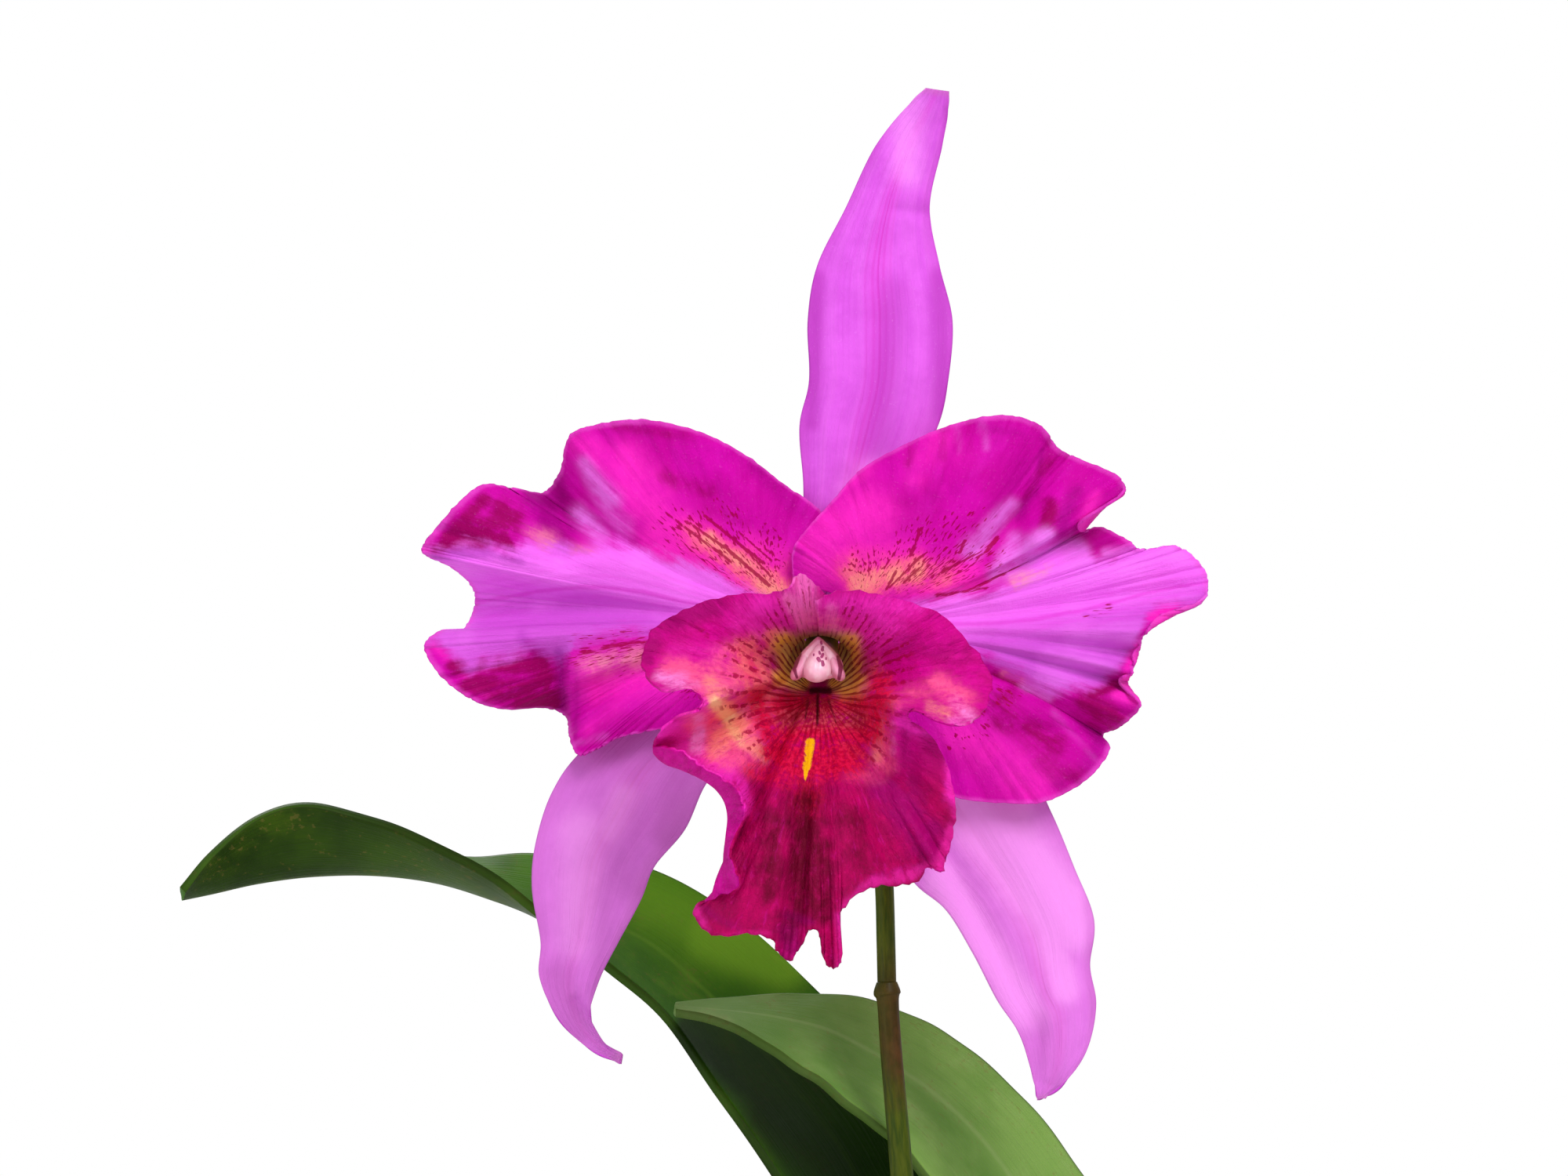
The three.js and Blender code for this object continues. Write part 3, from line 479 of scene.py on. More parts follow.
leftStrokes = {
    "hot": [(-40, 30.5, -34, 26, 2.4, 3, 0.8), (-33, 27, -27, 17, 3.4, 4.4, 1),
            (-27, 18, -14, 8, 4, 3, 1), (-27, 13.4, -17, 9, 2.4, 2.4, 1), (-12, 14, -4, 8, 2, 3, 0.8),
            (-38, -9, -27, -9, 3.4, 3.4, 0.9), (-39, -17, -33, -12, 1.4, 2, 0.5),
            (-64.5, -3, -55, -12, 0.7, 0.7, 0.6)],
    # pale: lilac splashes, and painted highlight along the fold ridges
    "pale": [(-39.6, 27.4, -35.4, 21, 1.2, 2, 0.75), (-37, 21, -33, 16.6, 1.2, 2, 0.5),
             (-40.4, 19, -37, 15.4, 1.6, 1.8, 0.8), (-36, -18, -41, -19.4, 0.9, 0.7, 0.35)],
    "peach": [(-48.6, 16, -45, 13.8, 1.2, 1.6, 0.75), (-47, 13.4, -38, 12.6, 1.4, 1.2, 0.5),
              (-39, -6, -30, -5, 2, 2.4, 0.7)],
    "glow": [(-19, 14.4, -7.6, 6, 1.5, 2.6, 1), (-22, 15.6, -9, 8, 2, 4.2, 0.45)],
    # deep: the lobe's own deep crimson, and painted shade in the pleat and folds
    "deep": [(-59, 15, -53, 17.6, 3, 3.2, 0.95), (-63.5, 13, -56, 21, 1.4, 1.2, 0.8),
             (-60.5, 10.8, -55.5, 12, 0.5, 0.5, 0.9), (-53, 15, -51.4, 12.6, 1.6, 0.7, 0.9),
             (-58, -9, -47, -11.4, 2.4, 3, 0.9), (-47, -8, -45.4, -12.4, 2.4, 1.4, 1),
             (-43.2, 13.8, -39, 12.2, 0.6, 0.4, 0.7), (-20, 20, -13, 17, 1.4, 1.2, 0.3),
             (-34.5, 33.2, -22, 31.6, 1, 1, 0.4), (-26, 25, -19, 22.4, 1.6, 1.6, 0.45),
             (-61, -6.6, -47, -6.2, 1.2, 1.6, 1.1), (-51, -11, -46, -12.6, 1.6, 1.8, 0.6)],
    "shade": [(-64, 12.2, -56, 12.6, 0.9, 1.2, 1), (-56, 12.4, -50, 11, 0.9, 0.8, 0.7),
              (-47.6, 21.5, -43.4, 13.5, 2.2, 2, 1), (-44.6, 26, -41.6, 17, 1.6, 1.8, 0.8),
              (-43.8, -4, -43.9, -14, 0.9, 1.2, 1), (-40.8, -6, -41, -18, 0.6, 0.5, 0.5),
              (-50, -1.6, -46.4, -4.6, 1, 1.6, 0.7), (-12, 27, -3, 19, 2, 2, 0.5),
              (-38, 18, -31, 14.5, 1, 1, 0.5), (-24, 31.5, -12, 26.5, 1, 1, 0.35)],
    "crimson": [(-22.9, 17.7, -16, 13, 0.26, 0.3, 0.9), (-16, 13, -9, 7, 0.24, 0.3, 1.2),
                (-26, 18.9, -15.2, 10.8, 0.2, 0.3, 0.9), (-19.8, 18.5, -9.9, 10.6, 0.22, 0.28, 1.1),
                (-15, 14.9, -8.6, 8.4, 0.16, 0.2, 0.9), (-14, 15.8, -8.6, 11, 0.16, 0.2, 0.9),
                (-39.4, -4.4, -34, -2.8, 0.5, 0.5, 0.6), (-35, -3, -30.4, -2.4, 0.6, 0.5, 0.7)],
    "spots": [(-24, 17, -10, 9, 3.4, 3.4, 1), (-18, 20, -9, 13, 2, 3, 0.85),
              (-40, -3.8, -30, -3.6, 2, 2.6, 1.15), (-33, -7, -29, -6.4, 1.4, 1.4, 0.8),
              (-24, -10, -20, -10, 2, 2, 0.7)],
}
rightStrokes = {
    "hot": [(-2, 15, 7, 18, 3.4, 5, 1), (0, 11.4, 13, 10, 4, 4.4, 1),
            (15.4, 25, 19, 31.4, 2.2, 3, 0.7), (2, 22, 7, 26, 1.6, 2, 0.6),
            (14.9, 7, 24.4, 8.4, 2, 2.6, 1), (22.9, -16.6, 34.7, -26, 4, 4, 0.75),
            (42.9, 17, 45, 21.6, 0.9, 1.2, 0.8), (54.6, 1.6, 58, 3.6, 1, 1, 1.1),
            (48.4, -11, 51.7, -12.2, 0.9, 0.9, 1.1), (50, -8, 51.6, -3, 0.7, 0.7, 0.9),
            (17, 30, 25, 28, 3, 3, 0.3)],
    # pale: lilac splashes, and painted highlight on the ridges of the rim folds
    "pale": [(24.6, 13, 31, 20.4, 1.8, 1.2, 0.9), (28.4, 8.6, 32, 14, 1.4, 1.8, 0.75),
             (32, 11.8, 37, 15.4, 2.2, 1.2, 0.9), (34.7, 10.6, 42, 12.6, 2.2, 1.8, 1.1),
             (30.4, 9.4, 36, 9.8, 2, 2, 0.8), (22.6, 29, 21.9, 33, 0.7, 0.8, 0.3),
             (26.8, 29.6, 26, 34.2, 0.7, 0.8, 0.35), (33.6, -9.6, 37.4, -11.4, 1.2, 0.9, 0.7),
             (46.8, 12.2, 49.8, 12.6, 0.9, 0.9, 0.6), (38, -14, 45, -22, 0.8, 0.6, 0.25)],
    "peach": [(31.9, 7.4, 37.1, 9.6, 1.4, 1.5, 0.95), (30, -7.4, 33, -8.8, 0.8, 0.8, 0.6)],
    "glow": [(6.2, 7.2, 15, 9.4, 2.2, 2.4, 1), (5, 9.6, 20, 8.6, 3, 3, 0.5)],
    # deep: deep crimson, and painted shade between the rim folds, under the lip and on the lower lobe
    "deep": [(43.4, -5.8, 48.8, -5.8, 0.42, 0.5, 1.3), (44.2, -13, 48.9, -16.2, 2.4, 2.4, 0.8),
             (44.4, -11.2, 49, -9.4, 0.8, 0.8, 0.9), (28.4, -7.6, 34, -10.6, 0.8, 0.9, 0.6),
             (14, 27, 15, 31, 0.8, 0.9, 0.4), (19.6, 28, 20, 33, 0.8, 0.9, 0.4),
             (24.4, 29, 24, 34, 0.6, 0.8, 0.35), (40.4, -2.4, 43, -7, 0.4, 0.4, 0.4),
             (33.4, 22, 38, 28, 1, 1.4, 0.4), (37, 16.4, 37.4, 20, 1.2, 1.4, 0.8),
             (24.6, -13.6, 31, -11.4, 1.6, 1.8, 0.6), (30, -14.6, 37.4, -19.6, 2.6, 3.2, 0.62),
             (36, -22, 42, -24.6, 2, 2, 0.5)],
    "shade": [(34.7, 24, 32.6, 18.6, 0.9, 1.4, 0.7), (38.8, 16, 41.8, 22.4, 1.2, 1.4, 0.8),
              (42.6, 12.9, 48, 14.2, 1, 1.4, 0.4), (48, 13.6, 52, 12.8, 0.8, 0.5, 0.5),
              (36.2, 29.5, 35.2, 22, 0.5, 0.8, 0.6), (43.2, -23.7, 46.5, -18.6, 1.6, 1.6, 0.7),
              (38, -26.5, 44, -23, 1, 1.4, 0.4), (26, 33, 33, 32, 0.8, 0.9, 0.4),
              (28, 20, 33, 27, 1.6, 1.8, 0.35), (43.2, 2, 46, 1.2, 0.5, 0.4, 0.5)],
    "crimson": [(14.4, 11.9, 15.8, 15.5, 0.3, 0.32, 1), (10.4, 6.3, 12, 9.3, 0.22, 0.25, 1),
                (11, 6.7, 16.3, 11.9, 0.16, 0.24, 1), (13.2, 7.4, 15.8, 9.8, 0.2, 0.24, 1),
                (26.9, 12.4, 28.8, 14.8, 0.3, 0.42, 1.1), (25.3, 6.7, 30, 8.9, 0.34, 0.4, 1),
                (30, 8.9, 34, 10.8, 0.4, 0.22, 0.9), (22.4, 12.2, 23.4, 14.5, 0.26, 0.3, 1),
                (19.6, 9.3, 24.8, 11.9, 0.42, 0.36, 0.8), (7.3, 13.1, 7.5, 8.4, 0.14, 0.14, 0.8),
                (18.7, 5.4, 27.2, 6.4, 0.5, 0.3, 0.7)],
    "spots": [(7, 10, 14, 12, 3, 3.4, 1), (14, 9.4, 27, 12, 3.4, 2.6, 1.15),
              (16, 15, 26, 17.6, 2.6, 2.2, 0.9), (25, -14.6, 31, -11, 2, 2, 0.8),
              (44, 1.6, 47, 3, 0.8, 0.8, 0.8), (20, -20, 26, -17, 2, 2, 0.6)],
}
leftFolds = [
    (-41, 31, -33, 19, 2, 3.4, 1.8), (-46.5, 25, -43.5, 13, 2.2, 2.4, -2.6),
    (-60, 19, -51, 15.6, 2, 2.6, 1.6), (-58, 11.6, -28, 11.4, 2, 3.4, 1.1),
    (-58, 4, -12, 2, 1.2, 1.6, -0.25), (-58, -1.5, -32, -0.5, 2.4, 3, 1),
    (-62, -6, -50, -8, 2, 3, 0.9), (-30, 31, -18, 20, 2.4, 3, -0.8), (-22, 31, -10, 18, 2, 2.6, 0.8),
    (-14, 28, -6, 16, 1.6, 2, -0.7), (-33, -6, -36, -15, 3, 2.6, 1.1),
    (-39, -8, -40, -18, 1.6, 1.2, 1.2),
]
rightFolds = [
    (36.5, 30, 31, 15, 1.4, 2.6, -1.7), (40.6, 25, 35, 15, 1.6, 2, 1.5), (32, 31, 26, 18, 2, 2.6, 1),
    (17, 31, 14, 22, 1, 1.2, 0.6), (22, 33, 18, 23, 1, 1.3, 0.7), (26.4, 34, 22, 24, 1, 1.3, 0.7),
    (19.6, 32, 16.4, 23, 0.8, 1, -0.5), (24.2, 33.4, 20, 24, 0.8, 1, -0.5),
    (42.6, 14.6, 32, 9, 1.6, 3.4, -0.45), (56, 12, 30, 5, 2, 3, 1.1),
    (10, 0, 58, 6.4, 1.2, 1.4, -0.6), (52, 0, 30, -3, 2.2, 3, 1.1), (46, -9, 28, -7, 1.6, 2.4, -0.7),
    (46, -14, 32, -14, 2.2, 3, 1.3), (46.4, -18.4, 34, -17, 1.2, 2.4, -1.5),
    (43, -24, 30, -22, 2, 2.6, 1.1), (8, 18, 4, 12, 3, 3, 0.8),
]


def petalPlace(margin, claw, seed, creases, ledge=None):
    waved = np.array(margin, float)
    calm, level = smoothed(waved, 8), smoothed(waved, 40)
    base = np.array(claw["base"])
    way = np.array(claw["way"])

    def place(us, r):
        goal = splineAt(calm, us)
        goal[:, 1] = splineAt(level, us)[:, 1]
        wave = splineAt(waved, us) - goal
        wave[:, 1] *= petalPlan["waveDepth"]
        side = 1 - 2 * us
        out = np.hypot(goal[:, 0] - base[0], goal[:, 2] - base[2])
        span, spread = petalPlan["reach"] * out, petalPlan["spread"] * side
        half = claw["half"]
        startX = base[0] - side * half * way[1]
        startZ = base[2] + side * half * way[0]
        bendX = base[0] + span * way[0] - spread * half * way[1]
        bendZ = base[2] + span * way[1] + spread * half * way[0]
        late = r ** 3
        first, second, third = (1 - r) ** 2, 2 * r * (1 - r), r ** 2
        x = first * startX + second * bendX + third * goal[:, 0] + late * wave[:, 0]
        z = first * startZ + second * bendZ + third * goal[:, 2] + late * wave[:, 2]
        y = (base[1] + (goal[:, 1] - base[1]) * r ** 1.5 + late * wave[:, 1]
             - claw["bulge"] * np.sin(math.pi * r))
        y += ripple(us, petalPlan["crinkle"], seed) * towardRim(r, 0.4, 3.6)
        teeth = ripple(us, petalPlan["scallop"], seed + 2) * towardRim(r, 0.85, 2)
        x += teeth * (goal[:, 0] - base[0]) / out
        z += teeth * (goal[:, 2] - base[2]) / out
        y += ripple(us, petalPlan["swell"], seed + 1) * np.sin(math.pi * r) * r
        y -= folds(x, z, creases)
        if ledge:
            (brink, steep), (top, soft), (middle, wide) = (ledge[k] for k in ("brink", "top", "middle"))
            y += (ledge["height"] / (1 + np.exp((x - brink) * steep)) / (1 + np.exp((z - top) * soft))
                  * np.exp(-((x - middle) / wide) ** 2))
        return np.stack([x, y, z], axis=1) + bloomSeat
    return place


def petalMarks(band, table):
    top, foot, rib = (np.array(band[k]) for k in ("top", "foot", "rib"))
    brushed = painted(table)

    def marks(points):
        x, z = points[:, 0] - bloomSeat[0], points[:, 2] - bloomSeat[2]
        above = z - np.interp(x, top[:, 0], top[:, 1])
        below = np.interp(x, foot[:, 0], foot[:, 1]) - z
        return {"flare": np.maximum(above, below), "rib": z - np.interp(x, rib[:, 0], rib[:, 1]),
                **brushed(points)}
    return marks


def petalFinish(name, back=False):
    f = Finish(name, 0.55, Specular_IOR_Level=0.03, Subsurface_Weight=0.06,
               Subsurface_Radius=(0.9, 0.3, 0.7), Subsurface_Scale=0.8 * mm)
    u, v = f.along()
    where = f.place()
    fibres = f.clouds(f.vector(u * 190, v * 8), 1, 5, 0.65, 0.6)
    broad = f.clouds(f.vector(u * 44, v * 3.4), 1, 4, 0.6, 0.5)
    mottle = f.clouds(where, 260, 5, 0.65)
    cloudy = f.clouds(where, 90, 3, 0.5)
    speck = f.clouds(where, 3000, 2, 0.6)
    fray = (fibres - 0.5) * 1.3 + (broad - 0.5) * 1.3 + (mottle - 0.5) * 1.8
    gentle = (fibres - 0.5) * 0.8 + (mottle - 0.5) * 1.4 + (cloudy - 0.5) * 0.8
    crimson, spots = f.mark("crimson"), f.mark("spots")
    # the magenta lobes
    colour = f.mix(f.step(cloudy, 0.35, 0.65), srgb(208, 8, 170), srgb(194, 4, 152))
    colour = f.mix(f.step(broad, 0.5, 0.75) * 0.2, colour, srgb(222, 40, 204))
    colour = f.mix(f.step(fibres, 0.5, 0.78) * 0.25, colour, srgb(160, 0, 122))
    colour = f.coats(colour, [
        ("hot", gentle * 0.6, 0.02, 1.1, 0.8, (246, 40, 192)),
        ("shade", gentle * 0.6, 0.03, 1, 0.65, (146, 2, 118)),
        # deep crimson, partly painted shade in folds and under the lip
        ("deep", fray * 0.7, 0.06, 0.9, 0.9, (148, 0, 84)),
        ("glow", gentle, 0.02, 0.7, 1, (246, 58, 146)),
        ("glow", gentle, 0.2, 1.3, 1, (250, 150, 140)),
        ("peach", gentle, 0.04, 1, 0.85, (238, 104, 168)),
        # pale lilac, partly painted highlight on fold ridges
        ("pale", fray * 0.5, 0.04, 1.05, 0.85, (232, 120, 234)),
    ])
    # the lilac band with its ribs, its lower half darker as painted shade
    band = f.mix(f.step(f.mark("rib"), -5, 3), srgb(204, 82, 208), srgb(238, 106, 238))
    band = f.mix(f.step(cloudy, 0.4, 0.7) * 0.3, band, srgb(250, 132, 252))
    band = f.mix(f.step(fibres, 0.48, 0.8) * 0.2, band, srgb(208, 60, 206))
    band = f.mix(f.brush("shade", fray * 0.4, 0.1, 1) * 0.55, band, srgb(158, 36, 166))
    rib = f.mark("rib") + (mottle - 0.5) * 0.6
    band = f.mix((1 - f.step(abs(rib), 0.08, 0.6)) * 0.42, band, srgb(212, 36, 194))
    for gap, strength in ((1.7, 0.14), (-1.5, 0.14), (3.2, 0.1), (-3, 0.1)):
        line = 1 - f.step(abs(rib - gap + (broad - 0.5) * 1.2), 0.06, 0.6)
        band = f.mix(line * strength, band, srgb(214, 48, 202))
    jag = (broad - 0.5) * 3.6 + (fibres - 0.5) * 3 + (mottle - 0.5) * 4
    colour = f.mix(f.step(f.mark("flare") + jag, -1.6, 1.8), band, colour)
    colour = f.mix(f.brush("peach", gentle, 0.3, 1.2) * 0.7, colour, srgb(240, 148, 172))
    # crimson streaks and rows of dashes
    dash = f.clouds(f.vector(u * 260, v * 34), 1, 1, 0.4, 0.3)
    rows = f.step(dash + (broad - 0.5) * 0.5 + spots * 0.12, 0.68, 0.74) * f.step(spots, 0.1, 0.5)
    broken = f.step(crimson * (dash * 1.6 + 0.2), 0.38, 0.66)
    colour = f.mix(rows.atLeast(broken) * 0.86, colour, srgb(158, 0, 62))
    # fine pale specks: painted glints of the surface cells
    colour = f.mix(f.step(speck, 0.6, 0.8) * 0.12, colour, srgb(255, 140, 240))
    # a lighter line along the margin: its pale rim, and painted highlight
    rim = f.step(v + (broad - 0.5) * 0.008, 0.984, 0.997)
    colour = f.mix(rim * (broad * 0.8), colour, srgb(230, 84, 206))
    if back:
        colour = f.mix(0.45, colour, srgb(236, 60, 180))
    relief = (fibres * 0.6 + broad * 0.35) * f.step(v, 0.1, 1) + mottle * 0.4 + speck * 0.2
    return f.finish(colour, None, relief, 0.42)


def rimRows(vs):
    return 1 - (1 - vs) ** 1.35


def petals():
    finishes = [petalFinish("petal_face"), petalFinish("petal_back", True)]
    for side, seed, band, table, creases in (
            ("left", 3, leftBand, leftStrokes, leftFolds),
            ("right", 8, rightBand, rightStrokes, rightFolds)):
        plain = petalPlace(petalPlan[side + "Margin"], petalPlan[side + "Claw"], seed, creases,
                           petalPlan.get(side + "Ledge"))
        bent = turnedOver(plain, petalPlan[side + "Turns"], petalPlan["flat"])
        gridPiece("petal_" + side + "_blade", petalPlan["columns"], petalPlan["rows"],
                  lambda us, vs, bent=bent: bent(us, rimRows(vs)), finishes, "petal_" + side,
                  "petal", petalMarks(band, table),
                  lambda us, vs, _: np.stack([us, rimRows(vs)], axis=1),
                  thickness=petalPlan["thickness"])


petals()
print("petals ready")


# Sepals

# In each sepal plan the light strokes are painted light and the dusk strokes are painted shade, the
# petals' shadow among it
sepalPlan = {
    "columns": 48, "rows": 160, "thickness": 0.6, "wave": (0.5, (3, 5, 8)),
    "grooveDepth": 0.35, "grooveHalf": 0.035,
    "dorsal": {
        "light": [(8, 6, 9, 22, 6, 5, 1), (14, 88, 14, 76, 3.4, 3, 0.6)],
        "dusk": [(-2, 34, -1, 58, 1.6, 1.6, 0.8), (20, 36, 19, 58, 2, 2, 0.8),
                 (9, 30, 12, 56, 3, 3, 0.6), (0, 8, 4, 4, 2, 2, 0.7), (17, 70, 20, 66, 1.6, 1, 0.5),
                 (20, 76, 20.6, 86, 1, 0.8, 0.6)],
        "folds": [(12, 69.5, 19, 68.6, 0.7, 1, -0.4), (4, 62, 10, 78, 2.4, 2, 0.7),
                  (5, 12, 9, 50, 2, 2.6, -0.7), (0, 20, 3, 56, 1.6, 2, 0.6),
                  (14, 24, 16, 56, 2, 2.4, 0.7)],
        "left": [(-2.6, 4, 3.1), (-3.2, 4.3, 14), (-3.3, 4.8, 24), (-3.9, 5, 33.5), (-2.3, 5, 41),
                 (-2.5, 5, 51), (-1, 5, 60), (4, 4.5, 70), (8.8, 3.5, 80), (14, 1.5, 86.5),
                 (17, 0.5, 89.4)],
        "right": [(2.8, 4, 3.1), (7.5, 4.3, 14), (13.5, 4.8, 24), (18.9, 5, 33), (20.8, 5, 41),
                  (21.5, 5, 51), (19.4, 5, 60), (17.7, 4, 70), (19.8, 2.5, 80), (20.7, 1, 85.5),
                  (20.8, 0, 88.8)],
        "bow": 1.2,
    },
    "lateral_left": {
        "light": [(-40, -34, -41, -52, 4, 3.4, 0.7), (-33, -28, -36, -34, 2.4, 2.4, 0.6)],
        "dusk": [(-36, -16, -16, -16, 6, 6, 1.4), (-22, -22, -26, -34, 3, 2.4, 1),
                 (-44, -58, -41, -68, 3, 2, 0.8), (-36, -46, -38, -62, 1.4, 1, 0.5)],
        "folds": [(-18, -14, -44, -58, 1.6, 2, -0.9), (-26, -14, -46, -46, 2.4, 2.4, 0.8),
                  (-20, -24, -38, -58, 1.8, 2, 0.7), (-41, -62, -35, -71, 1, 1, -1.2)],
        "left": [(-3.6, 4, -0.6), (-14, 4, -3), (-28, 4, -10), (-40, 3, -20.5), (-44.9, 2, -27.3),
                 (-47.6, 1, -35.5), (-48.2, 0, -43), (-46.8, 0, -52), (-47, -1, -58),
                 (-43.9, -2, -64.7), (-39, -3, -69.5), (-33.5, -6, -72)],
        "right": [(-1, 4, -3.6), (-7, 4, -12), (-14.5, 4, -20.5), (-19.5, 3, -26), (-23, 2, -33.5),
                  (-28, 1, -39.7), (-30.3, 0, -45.2), (-34, 1, -52), (-37.3, 1, -58.5),
                  (-38.6, 0, -64), (-36.8, -2, -68.3), (-33.2, -5.5, -70.3)],
        "bow": 1.4,
    },
    "lateral_right": {
        "light": [(24, -28, 40, -48, 5, 5, 1.3), (20, -42, 34, -64, 3, 3, 1),
                  (30, -24, 40, -60, 3, 2.4, 0.9)],
        "dusk": [(36, -66, 39, -77, 3, 2, 0.6), (44, -40, 45, -66, 1.2, 1.2, 0.6)],
        "folds": [(12, -22, 36, -68, 1.6, 1.8, -0.9), (20, -18, 42, -52, 2.4, 2.4, 0.9),
                  (14, -34, 34, -66, 1.8, 1.8, 0.7), (38, -60, 37, -74, 1.2, 1, 0.6)],
        "left": [(0.8, 4, -3.6), (2.5, 4, -13), (6.5, 4, -25), (11, 4, -36), (15.3, 4, -42.6),
                 (20.5, 3, -47), (24.8, 2, -54), (28.9, 1, -61.8), (32.3, 0, -67), (34.2, -1, -72.5),
                 (35, -2, -76), (35.4, -3, -78.2)],
        "right": [(3.6, 4, -0.8), (13, 4, -5), (24, 4, -13), (33.5, 4, -22.5), (38, 3.5, -31),
                  (41.7, 3, -40), (44.9, 2, -48.5), (44.2, 1, -56), (45.2, 0, -62.5),
                  (43.7, -1, -69.8), (40, -2, -75.3), (36.6, -3, -77.8)],
        "bow": 1.4,
    },
}


def sepalFinish(name, back=False):
    f = Finish(name, 0.55, Specular_IOR_Level=0.06, Subsurface_Weight=0.08,
               Subsurface_Radius=(0.9, 0.4, 0.8), Subsurface_Scale=1 * mm)
    u, v = f.along()
    where = f.place()
    threads = f.clouds(f.vector(u * 44, v * 2), 1, 5, 0.65, 0.5)
    bands = f.clouds(f.vector(u * 9, v * 1), 1, 2, 0.5, 0.6)
    mottle = f.clouds(where, 120, 5, 0.65)
    speck = f.clouds(where, 2600, 2, 0.6)
    centre = abs(u - 0.5 + (bands - 0.5) * 0.03)
    colour = f.mix(f.step(mottle, 0.3, 0.7), srgb(206, 82, 214), srgb(222, 96, 230))
    colour = f.mix(f.step(bands, 0.35, 0.7) * 0.2, colour, srgb(240, 124, 240))
    colour = f.mix(f.step(centre, 0.36, 0.5) * 0.45, colour, srgb(196, 74, 196))
    colour = f.mix(f.step(threads, 0.5, 0.8) * 0.22, colour, srgb(206, 58, 200))
    colour = f.mix((1 - f.step(centre, 0.02, 0.15)) * 0.35, colour, srgb(218, 60, 206))
    for gap, strength in ((0, 0.4), (0.045, 0.22), (0.1, 0.14)):
        line = 1 - f.step(abs(centre - gap + (threads - 0.5) * 0.02), 0.003, 0.016)
        colour = f.mix(line * strength * (1 - f.step(v, 0.7, 0.95)), colour, srgb(204, 34, 178))
    # painted light where the sepal faces the lamp
    colour = f.mix(f.step(f.mark("light") * (mottle + 0.5), 0.05, 0.9) * 0.75, colour,
                   srgb(254, 154, 254))
    # painted shade, the petals' shadow on the sepals among it
    colour = f.mix(f.step(f.mark("dusk") * (mottle + 0.5), 0.05, 1) * 0.75, colour, srgb(178, 52, 180))
    # fine pale specks: painted glints of the surface cells
    colour = f.mix(f.step(speck, 0.6, 0.8) * 0.12, colour, srgb(252, 190, 252))
    colour = f.mix(f.step(v, 0.95, 1) * 0.4, colour, srgb(206, 120, 180))
    if back:
        colour = f.mix(0.4, colour, srgb(214, 140, 206))
    return f.finish(colour, None, threads * 0.7 + bands * 0.6 + mottle * 0.4 + speck * 0.1, 0.25)


def sepals():
    finishes = [sepalFinish("sepal_face"), sepalFinish("sepal_back", True)]
    for index, key in enumerate(("dorsal", "lateral_left", "lateral_right")):
        plan = sepalPlan[key]
        left, right = np.array(plan["left"]), np.array(plan["right"])
        share = np.linspace(0, 1, len(left))
        middle = (left + right) / 2
        middle[:, 1] -= plan["bow"] * np.sin(math.pi * share) ** 1.5
        plain = bladePlace(left, middle, right, 1.7)

        def place(us, vs, plain=plain, index=index, creases=plan["folds"]):
            points = plain(us, vs)
            edge = np.abs(2 * us - 1)
            groove = np.exp(-((us - 0.5) / sepalPlan["grooveHalf"]) ** 2) * (1 - vs)
            points[:, 1] += ripple(vs, sepalPlan["wave"], 20 + index) * edge ** 3
            points[:, 1] += sepalPlan["grooveDepth"] * groove
            points[:, 1] -= folds(points[:, 0], points[:, 2], creases)
            return points + bloomSeat
        node = "dorsal_sepal" if key == "dorsal" else key.replace("lateral", "lateral_sepal")
        # strokes of painted light and painted shade
        marks = painted({tone: plan[tone] for tone in ("light", "dusk")})
        gridPiece(node + "_blade", sepalPlan["columns"], sepalPlan["rows"], place, finishes,
                  node, "sepal", marks, thickness=sepalPlan["thickness"])


sepals()
print("sepals ready")


# Lip

